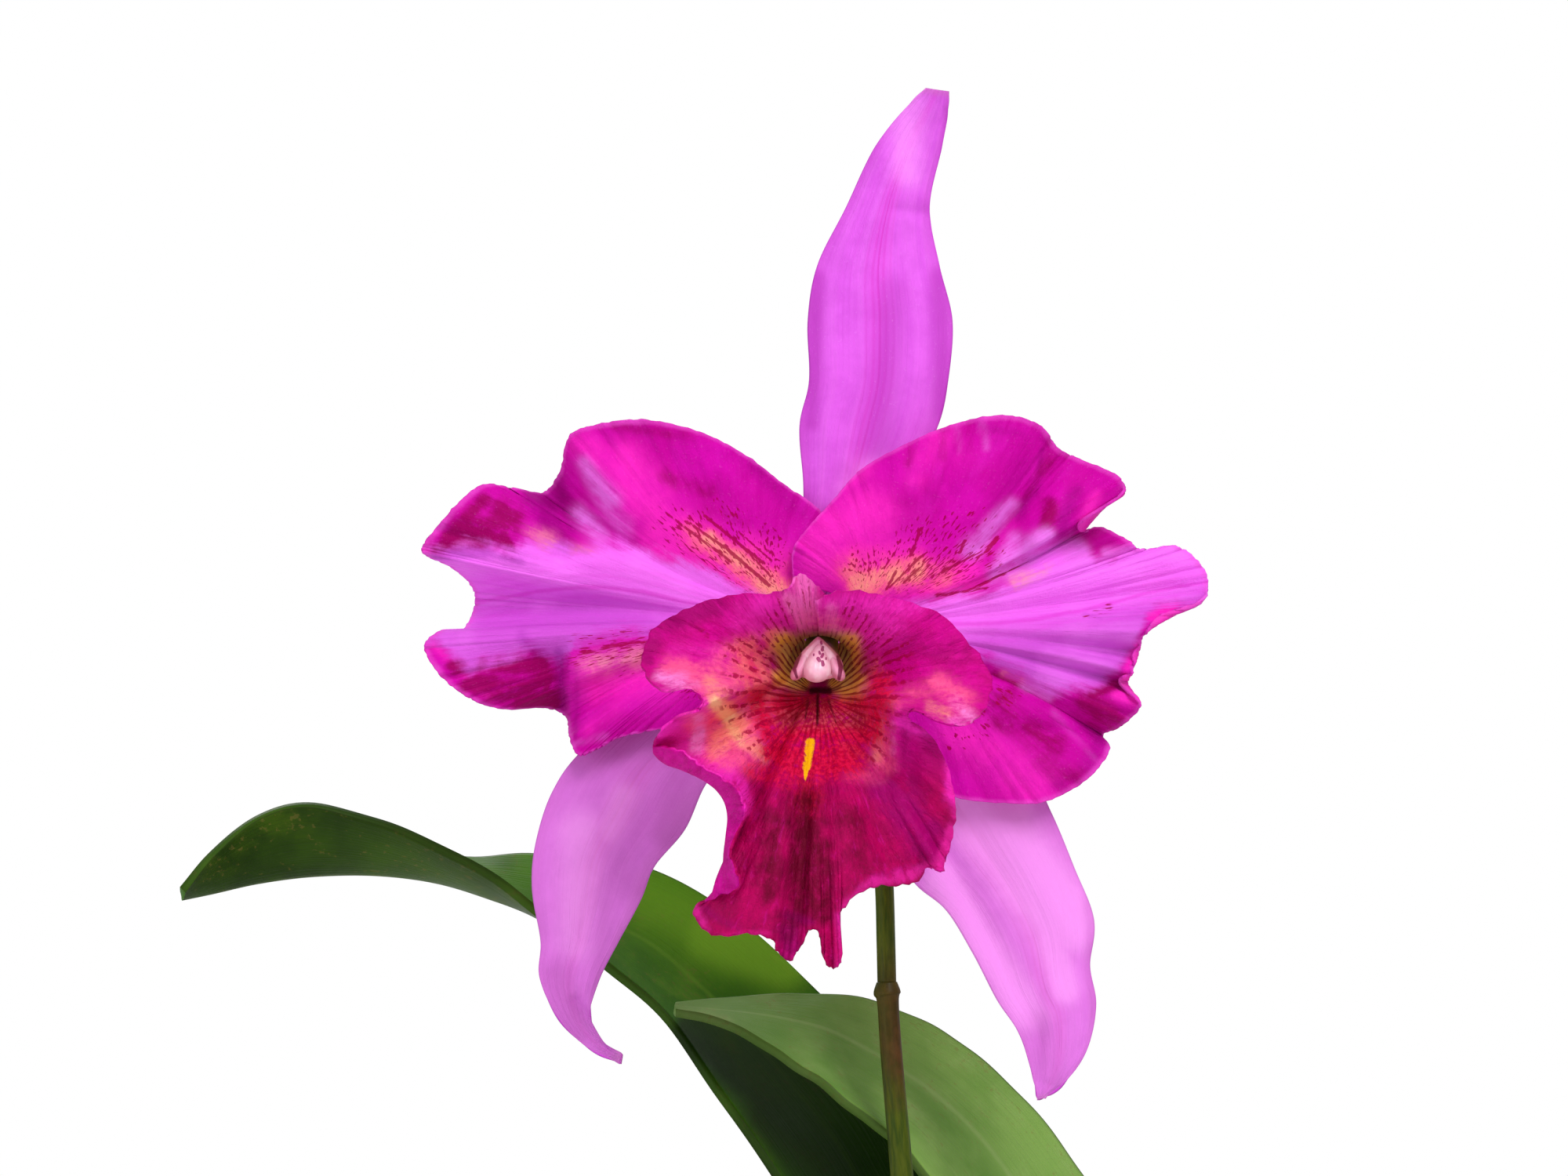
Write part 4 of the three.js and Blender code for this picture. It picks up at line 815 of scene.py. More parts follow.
lipPlan = {
    "columns": 440, "tubeRows": 16, "rows": 84, "thickness": 0.45, "flat": 0.45,
    # ruffles, teeth and swells: height, and how many run along the margin
    "crinkle": (0.972, (53, 37, 83, 121)), "scallop": (0.34, (61, 97, 143)),
    "swell": (0.2, (21, 34)), "sag": 4, "lean": 0.8, "lineLength": 40, "duskyHeights": (322, 334),
    "slit": (91, -270), "heart": (-0.8, -10.8), "sweep": 0.62, "stripes": 52,
    "tube": [(-3.6, 0, 0, 3.9, 3.9), (-9, -0.3, -3.2, 4.7, 4.6), (-15, -0.6, -6.3, 5.6, 5.2)],
    "margin": [
        (-1.6, -36, 4.5), (2.1, -35, 6.1), (6.1, -33, 6), (12.4, -31, 4.6), (18.8, -30, 2.5),
        (23.9, -29, -3), (27.1, -30, -7.7), (26.6, -34, -11.1), (25.1, -38, -13.8),
        (21.6, -41, -15.6), (18, -41.5, -14.8), (14.8, -41, -13), (13.2, -38, -13.2),
        (13.8, -34.8, -15), (16.8, -33, -16.8), (19.7, -34, -21.8), (21.2, -33, -28.2),
        (20.9, -30, -32.7), (19.5, -28, -37.8), (18.8, -31, -39.3), (17, -27, -38.2),
        (14.8, -28, -41.2), (11.2, -30, -41.5), (7.4, -33, -41.4), (3.6, -35, -43.6), (2, -36, -46.9),
        (2.9, -35, -52.9), (1.6, -33, -55), (-0.2, -34, -53.3), (-0.7, -37, -48.7),
        (-2.5, -38, -47.9), (-3.7, -36, -50.7), (-5.5, -33, -53.7), (-7.5, -34, -52.1),
        (-8.4, -37, -49.4), (-12.8, -38, -48.7), (-17.5, -37, -49.5), (-20.6, -34, -47.1),
        (-21, -33, -44.5), (-17.2, -38, -42.8), (-13.2, -43, -41.2), (-14, -44, -38.4),
        (-15.2, -42, -35.7), (-14.2, -40, -33), (-12.8, -40.6, -30.4), (-12.8, -43, -28),
        (-14, -44, -25.1), (-17.1, -42, -23.2), (-20.2, -40, -21.6), (-22.2, -38, -19.8),
        (-25.2, -36, -18.9), (-27.6, -34, -18.9), (-26.3, -38, -16.3), (-23.4, -41, -13.8),
        (-19.9, -42, -13), (-19.5, -40, -11.3), (-21.5, -42, -9.1), (-25.9, -40, -10.3),
        (-28.9, -34, -7.6), (-29.6, -31, -4.6), (-27.8, -29, -0.1), (-24, -29, 2.2),
        (-19.8, -30, 4.2), (-14.1, -31, 5.6), (-8.4, -32, 5.6), (-5.5, -33, 6.5), (-4.2, -32, 9.1),
        (-2.1, -32, 7.8), (0.1, -32, 5.4),
    ],
    # where the margin is turned over: from and to along it, hinge, degrees
    "turns": [(0.115, 0.19, 0.91, 140), (0.265, 0.3, 0.92, 120), (0.775, 0.84, 0.92, 140)],
    # where the left side is doubled over: the line of the fold, by place in the margin
    "shoulder": {
        39: (-19.6, -35, -43), 40: (-17.8, -37, -41.2), 41: (-16.5, -37, -38.8),
        42: (-16.4, -36.5, -36.2), 43: (-16.2, -36, -33.6), 44: (-15.7, -36, -30.6),
        45: (-16.3, -36.5, -28), 46: (-17.9, -37, -26), 47: (-19.7, -37, -24.6),
        48: (-21.6, -36, -23.8), 49: (-23.8, -33, -23), 50: (-26.4, -31, -22.5),
        51: (-28.4, -31, -21), 52: (-27, -36, -17),
    },
}
lipStrokes = {
    "glow": [(-18.6, -8.4, -16.8, -11, 1.2, 1.5, 0.7), (-17.4, -11.4, -14.4, -15.8, 1.4, 1.9, 1.2),
             (-14.8, -15.6, -17.4, -19.4, 1.9, 1.6, 0.8), (17, -12.8, 19.4, -13.8, 1, 1.1, 0.6),
             (9, -15, 8.6, -21, 1, 1, 0.5), (-13.4, -17.4, -9.8, -20.6, 1.5, 1.2, 0.7)],
    "cream": [(-17.6, -11.8, -15.6, -14.4, 0.8, 1.1, 1), (-15.2, -16, -13.6, -18.4, 1.1, 0.8, 0.6)],
    "blush": [(-24.6, -6.6, -17.6, -8.6, 1.8, 2.6, 0.95), (-20.4, -15.4, -13, -17, 2, 3.4, 0.9),
              (-18, -20.6, -12, -21.6, 1.6, 2, 0.7), (18.2, -8.8, 21.6, -11.6, 1.6, 2.4, 0.75),
              (10, -12, 16, -10.4, 1.6, 2, 0.4), (-16, -5, -12, -13, 2.6, 3, 0.6),
              (9, -14, 9.4, -22, 1.6, 1.8, 0.7), (4, -23.6, 9, -24, 1.4, 1.4, 0.4)],
    "pale": [(-26.4, -8, -23, -8.6, 1.1, 1.4, 0.8), (-24, -9.4, -20.4, -9, 0.8, 0.8, 0.5),
             (-20.2, -14.6, -20.6, -19.4, 1.1, 1.2, 0.95), (21, -12, 23, -14.2, 1.3, 1.5, 0.62),
             (19.7, -14.7, 24.6, -14.9, 0.7, 0.6, 0.6), (11, -15, 11.2, -20, 0.6, 0.6, 0.4)],
    "violet": [(-25.2, 1.4, -17.6, 4, 2, 2, 0.9), (-28.4, -5, -27, -1, 1, 1.4, 0.9),
               (12, -2, 22, -4, 2, 2.6, 0.5), (13, -18, 15, -28, 1.6, 2.4, 0.5),
               (10, -26, 18, -36, 2.4, 3.4, 0.9), (-5.6, -52, -5.8, -48.6, 1.6, 1.6, 1),
               (-26.4, -20.8, -22, -21.4, 1, 1, 0.6), (-6, -46, -2, -47, 1, 0.6, 0.8),
               (0.8, 5, 12, 4, 0.6, 0.8, 0.3), (8, -40, 17, -38, 0.8, 0.8, 0.6),
               (-19, -45, -14, -48, 1, 1, 0.4)],
    "deep": [(-3.2, -28.6, -3.4, -43, 3.4, 3.4, 0.9), (-3, -31, -3.1, -41, 1, 0.8, 1.05),
             (-9, -42, -8, -31, 2.2, 2.4, 0.7), (4, -30, 6, -38, 2.4, 2, 0.6),
             (-0.4, -35, -0.8, -46, 2.2, 2, 0.8), (-5, -43, -6, -49, 2.4, 2, 0.65)],
    # sun: painted light on the gold walls deep in the throat
    "sun": [(-6, -3.4, -4.6, -8.6, 1.1, 1.2, 1), (3.6, -4, 3.8, -8.6, 1.2, 1.3, 1),
            (-4, -2.4, 2, -2.4, 1.5, 1.7, 1.1)],
    "gold": [(-6.6, -2.6, -4.4, -8, 1.8, 2, 1.1), (4, -2.6, 4, -8.8, 1.8, 2.3, 1.1),
             (-7, -8, -3.4, -9.4, 1.4, 0.9, 1), (1.7, -9.3, 5.4, -8.4, 0.9, 1.4, 1)],
    "ember": [(-12.5, -3.6, -9.6, -12, 2.4, 2.6, 0.95), (-9.6, -12, -5, -13.4, 2.4, 1.6, 0.7),
              (8.6, -5.6, 9.6, -12, 1.6, 1.8, 0.5), (-8.4, -1, -10, -4, 1.4, 1.8, 0.7),
              (9.2, -12, 5, -13.6, 1.6, 1.4, 0.6), (-3, 1.4, 3, 1, 1.6, 1.6, 0.3)],
    "red": [(-11, -11, -8.4, -18.4, 1.6, 2.2, 0.8), (9.4, -9, 7.4, -17, 2, 2.4, 0.9),
            (-8.4, -19.8, -4, -21.8, 1.8, 2.6, 1.1), (-4, -21.8, 4, -21, 2.8, 2.6, 1.15),
            (-2.6, -24, -2.8, -28.4, 2.6, 2.2, 0.8), (-12, -22.8, -6, -24.6, 1.6, 1.8, 0.6),
            (-7, -13, 6, -12.6, 2, 2, 1), (-7, -17, 6, -17, 2, 2, 1)],
    "mauve": [(-6.6, -15, 5.6, -14.8, 1.6, 1.7, 0.9), (-2, -12.8, 1, -12.8, 1.4, 1.4, 0.7),
              (3, -19, 7, -21.6, 1, 1.2, 0.3)],
    # dark: painted shade in the gap under the column and down the groove below it
    "dark": [(-2, -10.5, 1, -10.5, 0.5, 0.5, 1.1), (-1, -10.8, -1.1, -16, 0.36, 0.16, 0.8),
             (-2.6, -12, -3.2, -15, 0.26, 0.16, 0.6), (0.8, -12, 2, -15.6, 0.26, 0.16, 0.6),
             (-3.6, -9.9, -2.4, -10.4, 0.3, 0.5, 0.6), (2.8, -9.9, 1.4, -10.4, 0.3, 0.5, 0.6)],
    "blotch": [(-2.3, -18.8, -2.9, -22.6, 0.8, 0.62, 1.3), (-2.9, -22.6, -3.1, -24.4, 0.5, 0.2, 1.2)],
    "ink": [(-8, -8, 6, -8, 7, 6.8, 1.15), (-12.4, -5, -10, -13, 4, 4, 1.05),
            (9.6, -5, 8, -13, 4.4, 3.8, 1.05), (-7, 3, -9, -3, 2, 2.6, 0.9),
            (4.4, 2.4, 7, -3, 2.2, 2.8, 0.85), (-3, 7, -3, 2, 1.4, 1.8, 0.55),
            (-8, -19, 6, -18, 3.4, 3, 0.75), (-14.4, -13, -9, -20, 2.6, 3, 0.85),
            (10, -14, 8.4, -21, 2, 2.2, 0.7), (-19, -1, -13, -4, 2.2, 2.4, 0.5)],
    # soft: pink of the lobes, and painted light on the doubled-over left side
    "soft": [(-10, 3.6, -5, 2.4, 2.2, 2.2, 1), (-3.6, 7, -2.4, 1, 2.2, 1.8, 1),
             (1, 3.4, 14, 3.8, 2, 2, 0.8), (1.1, 3.2, 1.9, -0.6, 1.8, 2, 0.9),
             (-24, -3.6, -16, -4.4, 1.6, 1.8, 0.5), (-13, 1, -8, -1, 2.6, 3, 0.9),
             (-1, 1.6, 9, 0, 3, 3.4, 0.9), (-28, -11.6, -20, -12, 1.4, 2, 1.2),
             (-26.6, -16, -20.4, -16, 1, 1.6, 1.3), (-22.6, -19.4, -15.6, -23, 1.6, 1.8, 1.1),
             (-14, -24, -12.6, -29, 1, 1.4, 0.8), (20.6, -15.6, 20.8, -27, 1.1, 1.3, 1.1),
             (12, -14.6, 16.6, -16, 1.2, 1.8, 0.9)],
    # tender: pale pink above the column, brightened as painted light where the throat is shaded
    "tender": [(-5.6, 4.6, -3.4, 1, 1.2, 1.2, 1), (-3.4, 8.4, -2.6, 2, 1.6, 1.6, 1.1),
               (1, 3, 1.6, -0.4, 1.1, 1.1, 0.8), (-3, 0, 1, -1.4, 1.6, 1.6, 0.9)],
    # frill: lighter pink along the ruffled margins, partly painted highlight
    "frill": [(21, -20, 21.2, -30, 0.9, 0.9, 0.8), (20.8, -32, 18.6, -38.8, 0.9, 1.1, 1),
              (18, -38.6, 7, -41, 1.3, 1, 0.9), (7, -41, 3, -44.5, 0.9, 0.8, 0.7),
              (2.6, -46, 2.6, -54, 0.9, 0.9, 0.8), (-21, -44.6, -18.6, -48.6, 0.8, 0.7, 0.8),
              (-17, -49, -9, -48.6, 0.6, 0.6, 0.5)],
}
lipFolds = [
    (-3, -26, -3.2, -47, 1.4, 1.8, -1.7), (-8.4, -26, -8.6, -44, 2, 2.6, 1.2),
    (3, -25, 4.6, -40, 2, 2.4, 1.2), (10, -36, 7, -30, 1, 1.4, -0.8),
    (15, -37, 12, -28, 1.4, 1.8, 0.8), (-13, -36, -10, -34, 1.4, 1.6, -0.9),
    (-16, -45, -12, -42, 1.4, 1.6, 0.9), (-1.4, -14, -2, -19, 0.6, 0.8, 0.5),
    (-4, -15, -4.4, -21, 0.6, 0.8, 0.5), (-2.7, -14, -2.9, -22, 0.5, 0.5, -0.4),
    (-22, 0, -14, -6, 2.4, 2.4, 1), (-26, -4, -18, -9, 2, 2, -1), (22, -2, 14, -7, 2.6, 2.6, 1.1),
    (22, -12, 15, -11, 1.6, 2, -1.1), (11.2, -13, 11.6, -23, 0.9, 1.2, 1.9),
    (13.6, -15.4, 14.4, -24, 0.9, 1.4, -0.8), (-22, -16, -16, -17, 1.6, 2, -1),
    (-12, 4, -9, -2, 1.6, 2, 0.7), (6, 4, 5, -1, 1.6, 2, 0.7), (15, -20, 19, -28, 2, 2.6, 0.9),
]


def throatTurns(spots):
    _, middleX, middleZ, _, _ = lipPlan["tube"][-1]
    steps = np.linspace(0, 1, 1401)
    calm = splineAt(smoothed(lipPlan["margin"], 30), steps)
    turns = np.unwrap(np.arctan2(calm[:, 2] - middleZ, calm[:, 0] - middleX))
    turns = np.minimum.accumulate(turns) - np.arange(len(steps)) * 1e-4
    start, end = (math.radians(a) for a in lipPlan["slit"])
    turns = start + (turns - turns[0]) * (end - start) / (turns[-1] - turns[0])
    return np.interp(spots, steps, turns)


def lipSheet(us, row):
    whole = lipPlan["tubeRows"] + lipPlan["rows"]
    inTube = np.clip(row * whole / lipPlan["tubeRows"], 0, 1)
    r = np.clip((row * whole - lipPlan["tubeRows"]) / lipPlan["rows"], 0, 1)
    waved = (smoothed(lipPlan["margin"], 1) + 2 * np.array(lipPlan["margin"])) / 3
    calm = smoothed(lipPlan["margin"], 8)
    doubled = np.zeros((len(calm), 2))
    for place, shoulder in lipPlan["shoulder"].items():
        calm[place] = shoulder
        doubled[place] = 1
    calm = smoothed(calm, 1)
    double = splineAt(smoothed(doubled, 2), us)[:, 0]
    turns = throatTurns(us)
    tube = splineAt(lipPlan["tube"], inTube)
    ring = np.stack([tube[:, 1] + tube[:, 3] * np.cos(turns), tube[:, 0],
                     tube[:, 2] + tube[:, 4] * np.sin(turns)], axis=1)
    goal = splineAt(calm, us)
    wave = splineAt(waved, us) - goal
    low = np.maximum(0, -np.sin(turns))
    flare = 1 - (1 - r) ** 2.2
    point = ring.copy()
    share = 1 - (1 - r) ** (1 + 1.2 * double)
    point[:, 0] += (goal[:, 0] - ring[:, 0]) * share
    point[:, 2] += (goal[:, 2] - ring[:, 2]) * share
    point[:, 1] += (goal[:, 1] - ring[:, 1]) * flare - lipPlan["sag"] * low ** 2 * np.sin(math.pi * r)
    point += wave * (r ** (3.4 + 8 * double))[:, None]
    point[:, 1] += ripple(us, lipPlan["crinkle"], 31) * towardRim(r, 0.45, 2)
    away = (goal - ring)[:, [0, 2]]
    teeth = ripple(us, lipPlan["scallop"], 35) * towardRim(r, 0.8, 2)
    point[:, [0, 2]] += teeth[:, None] * away / np.linalg.norm(away, axis=1)[:, None]
    point[:, 1] += ripple(us, lipPlan["swell"], 33) * np.sin(math.pi * r)
    point[:, 1] -= folds(point[:, 0], point[:, 2], lipFolds) * np.clip(r * 4, 0, 1)
    point[:, 1] += lipPlan["lean"] * (us - 0.5) * np.clip(1 - r * 3, 0, 1)
    return point + bloomSeat


# The lip's lines leave its heart and sweep up either side of the column
def lipLines(us, _, points):
    heartX, heartZ = lipPlan["heart"]
    x, z = points[:, 0] - bloomSeat[0] - heartX, points[:, 2] - bloomSeat[2] - heartZ
    away = np.hypot(x, z)
    turn = np.arctan2(z, x)
    turn += 2 * math.pi * np.round((throatTurns(us) - turn) / (2 * math.pi))
    bend = lipPlan["sweep"] * np.clip(away / 9, 0, 1) ** 0.8 * (1 + np.sin(turn)) / 2
    turn -= bend * np.cos(turn)
    return np.stack([turn / (2 * math.pi), away / lipPlan["lineLength"]], axis=1)


def lipFinish(name, back=False):
    f = Finish(name, 0.5, Specular_IOR_Level=0.06, Subsurface_Weight=0.05,
               Subsurface_Radius=(0.9, 0.2, 0.5), Subsurface_Scale=0.8 * mm)
    turn, away = f.along()
    where = f.place()
    fibres = f.clouds(f.vector(turn * 190, away * 12), 1, 5, 0.65, 0.4)
    broad = f.clouds(f.vector(turn * 60, away * 8), 1, 4, 0.6, 0.3)
    mottle = f.clouds(where, 300, 5, 0.65)
    crumbs = f.clouds(where, 1300, 3, 0.6)
    speck = f.clouds(where, 3000, 2, 0.6)
    fray = (fibres - 0.5) * 1.2 + (broad - 0.5) * 1.4 + (mottle - 0.5) * 1.2
    gentle = (fibres - 0.5) * 0.7 + (mottle - 0.5) * 1.3 + (crumbs - 0.5) * 0.6
    rough = (mottle - 0.5) * 0.9 + (crumbs - 0.5) * 1.2 + (fibres - 0.5) * 0.8
    ink = f.mark("ink")
    low = 1 - f.step(f.axes()[2] * toMm + (mottle - 0.5) * 6, *lipPlan["duskyHeights"])
    colour = f.mix(f.step(mottle, 0.35, 0.65), srgb(204, 0, 138), srgb(188, 0, 118))
    colour = f.mix(low, colour, f.mix(f.step(mottle, 0.35, 0.65), srgb(184, 0, 90), srgb(158, 0, 76)))
    # darker streaks along the fibres: the lip's grain, and painted shade of its wrinkles
    colour = f.mix(f.step(fibres, 0.5, 0.74) * 0.45, colour, srgb(136, 0, 78))
    colour = f.mix(f.brush("violet", fray * 0.6, 0.05, 0.9) * 0.85, colour, srgb(160, 0, 104))
    # lighter streaks: the lip's grain, and painted highlight on its wrinkles
    colour = f.mix((1 - f.step(fibres, 0.28, 0.46)) * 0.35, colour, srgb(222, 22, 160))
    fire = f.mix(f.step(mottle, 0.35, 0.65), srgb(234, 66, 104), srgb(246, 112, 122))
    blood = f.mix(f.step(crumbs, 0.38, 0.64), srgb(186, 0, 50), srgb(222, 18, 76))
    dusk = f.mix(f.step(crumbs, 0.4, 0.62), srgb(148, 22, 48), srgb(196, 66, 88))
    ochre = f.mix(f.step(mottle, 0.3, 0.7), srgb(255, 196, 66), srgb(255, 172, 100))
    colour = f.coats(colour, [
        # pink, partly painted light on the doubled-over left side
        ("soft", gentle, 0.03, 1, 0.85, (240, 40, 184)),
        # pale pink, partly painted light above the column
        ("tender", gentle, 0.03, 1, 0.8, (250, 110, 196)),
        ("blush", gentle, 0.05, 0.95, 1, (248, 84, 146)),
        ("glow", gentle, 0.05, 1, 1, (250, 138, 132)),
        ("cream", gentle, 0.05, 1, 0.9, (254, 200, 150)),
        ("pale", gentle, 0.1, 1.1, 1, (248, 130, 214)),
        ("ember", gentle, 0.05, 0.9, 0.9, fire),
        ("red", rough, 0.05, 0.95, 1, blood),
        ("mauve", rough, 0.05, 1, 0.85, dusk),
        ("gold", fray * 0.5, 0.08, 0.9, 1, ochre),
        # painted light in the shaded throat
        ("sun", fray * 0.5, 0.05, 1, 0.8, (255, 222, 128)),
        ("deep", fray * 0.6, 0.03, 1.1, 0.9, (92, 0, 26)),
    ])
    # crimson lines that leave the heart and break up into dashes
    wander = (broad - 0.5) * 6 + (mottle - 0.5) * 1.8
    comb = f.wave(turn * lipPlan["stripes"] + wander / (2 * math.pi))
    dashes = f.clouds(f.vector(turn * 100, away * 44), 1, 2, 0.5)
    reach = away * lipPlan["lineLength"]
    near = 1 - f.step(reach, 5, 12)
    close = 1 - f.step(reach, 3.4, 6.5)
    bold = f.step(comb + ink * 0.4 - close * 0.3, 0.45, 1.05)
    lining = bold * (near + f.step(dashes, 0.44, 0.54)).atMost(1)
    inked = lining * f.step(ink * (fray * 0.6 + 1), 0.15, 0.7)
    colour = f.mix(inked * 0.84, colour, f.mix(near, srgb(164, 0, 60), srgb(146, 2, 34)))
    # painted shade under the column
    colour = f.mix(f.brush("dark", fray * 0.5, 0.1, 0.9) * 0.95, colour, srgb(56, 6, 8))
    colour = f.mix(f.brush("blotch", rough * 0.8, 0.4, 0.85), colour, srgb(252, 184, 12))
    # fine pale specks: painted glints of the surface
    colour = f.mix(f.step(speck, 0.64, 0.8) * 0.14, colour, srgb(250, 90, 190))
    # lighter pink along the ruffled margins, partly painted highlight
    colour = f.mix(f.brush("frill", fray, 0.1, 1) * 0.75, colour, srgb(226, 34, 154))
    if back:
        colour = f.mix(f.step(mottle, 0.35, 0.65), srgb(190, 2, 130), srgb(210, 10, 152))
        colour = f.mix(f.step(fibres, 0.5, 0.75) * 0.5, colour, srgb(150, 0, 96))
        # fine pale specks: painted glints of the surface
        colour = f.mix(f.step(speck, 0.6, 0.8) * 0.25, colour, srgb(250, 120, 216))
    relief = (fibres * 1.2 + broad * 0.7) * f.step(away, 0.05, 0.4) + mottle * 0.5
    return f.finish(colour, None, relief + crumbs * 0.3 + speck * 0.16, 0.5)


def lip():
    bent = turnedOver(lipSheet, lipPlan["turns"], lipPlan["flat"])
    gridPiece("lip_blade", lipPlan["columns"], lipPlan["tubeRows"] + lipPlan["rows"], bent,
              [lipFinish("lip_face"), lipFinish("lip_back", True)], "lip", "lip", painted(lipStrokes),
              lipLines, thickness=lipPlan["thickness"])


lip()
print("lip ready")


# Column and anther cap

columnPlan = {
    "line": [(-3.3, 0, 0, 2.8, 2.6, 0), (-7, -0.1, -1.2, 2.6, 2.2, 0), (-11, -0.3, -2.6, 2.7, 2, 0),
             (-15, -0.5, -4, 2.9, 1.9, 0.2), (-19, -0.8, -4.8, 3.4, 2.6, 0.5),
             (-22.4, -0.9, -4.9, 3.5, 3.5, 0.72), (-24.2, -0.9, -5, 3.1, 3.2, 0.72)],
    "bodyGrid": (72, 90), "lumpGrid": (80, 60),
    "foot": 0.03, "tip": 0.94, "tipDepth": 0.8, "seam": 0.22,
    # rounded lumps: middle, half sizes, how much slimmer at the top, lean
    "lumps": {
        "anther_cap_body": ((-1.05, -25.4, -5.7), (2.05, 2.6, 3.1), 0.5, 0.06),
        "column_wing_left": ((-3.8, -23.6, -6.2), (1.15, 2.3, 2.3), 0.35, 0.42),
        "column_wing_right": ((1.9, -23.6, -6.4), (1.1, 2.3, 2.2), 0.35, -0.36),
    },
}
columnStrokes = {
    "stripe": [(-3.9, -4.2, -4.9, -6.4, 0.26, 0.36, 1.1), (-4.9, -6.4, -4.4, -8, 0.34, 0.2, 0.9),
               (2.2, -4.6, 2.7, -6.4, 0.2, 0.36, 1.1), (2.7, -6.4, 2.4, -8.2, 0.36, 0.26, 1.1)],
    "dots": [(-0.5, -2.2, -0.4, -2.6, 0.18, 0.18, 1), (-0.2, -3.1, -0.3, -3.5, 0.2, 0.26, 1.1),
             (-0.8, -3.8, -0.7, -4.1, 0.18, 0.22, 1), (-0.2, -4.2, -0.4, -4.6, 0.22, 0.24, 1.1),
             (-1, -4.9, -0.8, -5.2, 0.28, 0.28, 1.2), (-0.3, -5.4, -0.2, -5.9, 0.24, 0.28, 1.1),
             (-1.7, -4.2, -1.7, -4.4, 0.16, 0.16, 0.9), (0.3, -4.8, 0.3, -5, 0.16, 0.16, 0.9)],
    "flush": [(-4.6, -4.4, -4.4, -7.6, 1.2, 1.2, 1), (2.6, -4.8, 2.5, -7.6, 1.1, 1.1, 1),
              (-1, -1.6, -1, -2.6, 0.7, 1, 0.6)],
}


def columnPlace(us, vs):
    foot, tip = columnPlan["foot"], columnPlan["tip"]
    inner = np.clip((vs - foot) / (tip - foot), 0, 1)
    depth, x, z, wide, high, narrow = splineAt(columnPlan["line"], inner).T
    turn = 2 * math.pi * us
    lift = np.sin(turn)
    front = np.clip((vs - tip) / (1 - tip), 0, 1)
    close = np.where(vs < tiny, 0.0, 1.0) * np.sqrt(np.clip(1 - front ** 2, 0, 1))
    px = x + wide * np.cos(turn) * (1 - narrow * lift) ** 0.9 * close
    pz = z + high * lift * close
    return np.stack([px, depth - columnPlan["tipDepth"] * front, pz], axis=1) + bloomSeat


def lumpPlace(middle, size, slim, lean):
    def place(us, vs):
        turn, rise = 2 * math.pi * us, math.pi * (vs - 0.5)
        up = np.sin(rise)
        girth = np.cos(rise) * (1 - slim * up)
        x = size[0] * girth * np.cos(turn)
        seam = np.exp(-(x / columnPlan["seam"]) ** 2) * (up < 0.1) * (abs(lean) < 0.1)
        y = size[1] * girth * np.sin(turn) + columnPlan["seam"] * seam * np.cos(rise)
        x = x + lean * size[2] * up
        return np.stack([x, y, size[2] * up], axis=1) + np.array(middle) + bloomSeat
    return place


def columnFinish():
    f = Finish("column_wax", 0.35, Specular_IOR_Level=0.4, Subsurface_Weight=0.25,
               Subsurface_Radius=(1.0, 0.6, 0.7), Subsurface_Scale=1 * mm)
    depth = f.axes()[1] * toMm - bloomSeat[1]
    mottle = f.clouds(f.place(), 500, 3)
    fine = f.clouds(f.place(), 2500, 2)
    colour = f.mix(f.step(mottle, 0.35, 0.7), srgb(240, 176, 200), srgb(250, 214, 226))
    colour = f.mix(f.brush("flush", mottle - 0.5, 0.1, 0.9) * 0.8, colour, srgb(222, 130, 172))
    colour = f.mix(f.step(depth, -21, -14), colour, srgb(150, 150, 60))
    colour = f.mix(f.step(f.mark("stripe") + (mottle - 0.5) * 0.4, 0.35, 0.6) * 0.9, colour,
                   srgb(112, 8, 60))
    colour = f.mix(f.step(f.mark("dots") + (mottle - 0.5) * 0.5, 0.4, 0.6) * 0.9, colour,
                   srgb(150, 6, 96))
    return f.finish(colour, None, mottle * 0.4 + fine * 0.15, 0.2)


def column():
    wax = columnFinish()
    marks = painted(columnStrokes)
    gridPiece("column_body", *columnPlan["bodyGrid"], columnPlace, [wax], "column", "column", marks,
              closed=True)
    for name, shape in columnPlan["lumps"].items():
        gridPiece(name, *columnPlan["lumpGrid"], lumpPlace(*shape), [wax],
                  "anther_cap" if name == "anther_cap_body" else None, "column", marks, closed=True)


column()
print("column ready")


# Flower stem, sheath and stalk

stemPlan = {
    "peduncle": [(1.1, -1.2, 210.9, 2.1), (0.4, -1.2, 224, 2), (-0.4, -0.6, 238, 2),
                 (-1.7, 1.6, 257.7, 1.95), (-3.4, 3, 277.4, 1.85), (-4, 3.8, 286.6, 1.85),
                 (-4.15, 3.95, 288.4, 2.3), (-4.2, 4, 290.2, 1.75)],
    "pedicel": [(-4.2, 4, 290.0, 1.6), (-4.35, 4.6, 297, 1.6), (-4.6, 6, 306.3, 1.6),
                (-5.3, 8, 317, 1.75), (-7.6, 10.6, 332.6, 2.1), (-10.6, 8.4, 343.6, 2.3),
                (-13.4, 3, 348.8, 2.4), (-14.9, -3.4, 350, 2.45), (-15, -9, 350, 2.45),
                (-15, -15, 350, 2.45)],
    "spathe": [(1.1, -0.9, 208.9, 3.2, 3), (0.8, -1.2, 217, 5.4, 3.4), (0.4, -1.2, 225, 7, 3.5),
               (-0.1, -0.9, 235, 6.6, 3.5), (-0.7, 0, 244, 4.6, 3.3), (-1, 0.6, 249, 3.5, 3.2)],
    "nodeHeight": 289, "stemGrid": (28, 150), "sheathGrid": (72, 60), "sheathWall": 0.5,
    "ovaryRidge": 0.05, "ovaryStart": 0.35, "mouthDip": 3.2, "mouthWave": (0.4, (5, 9)),
}


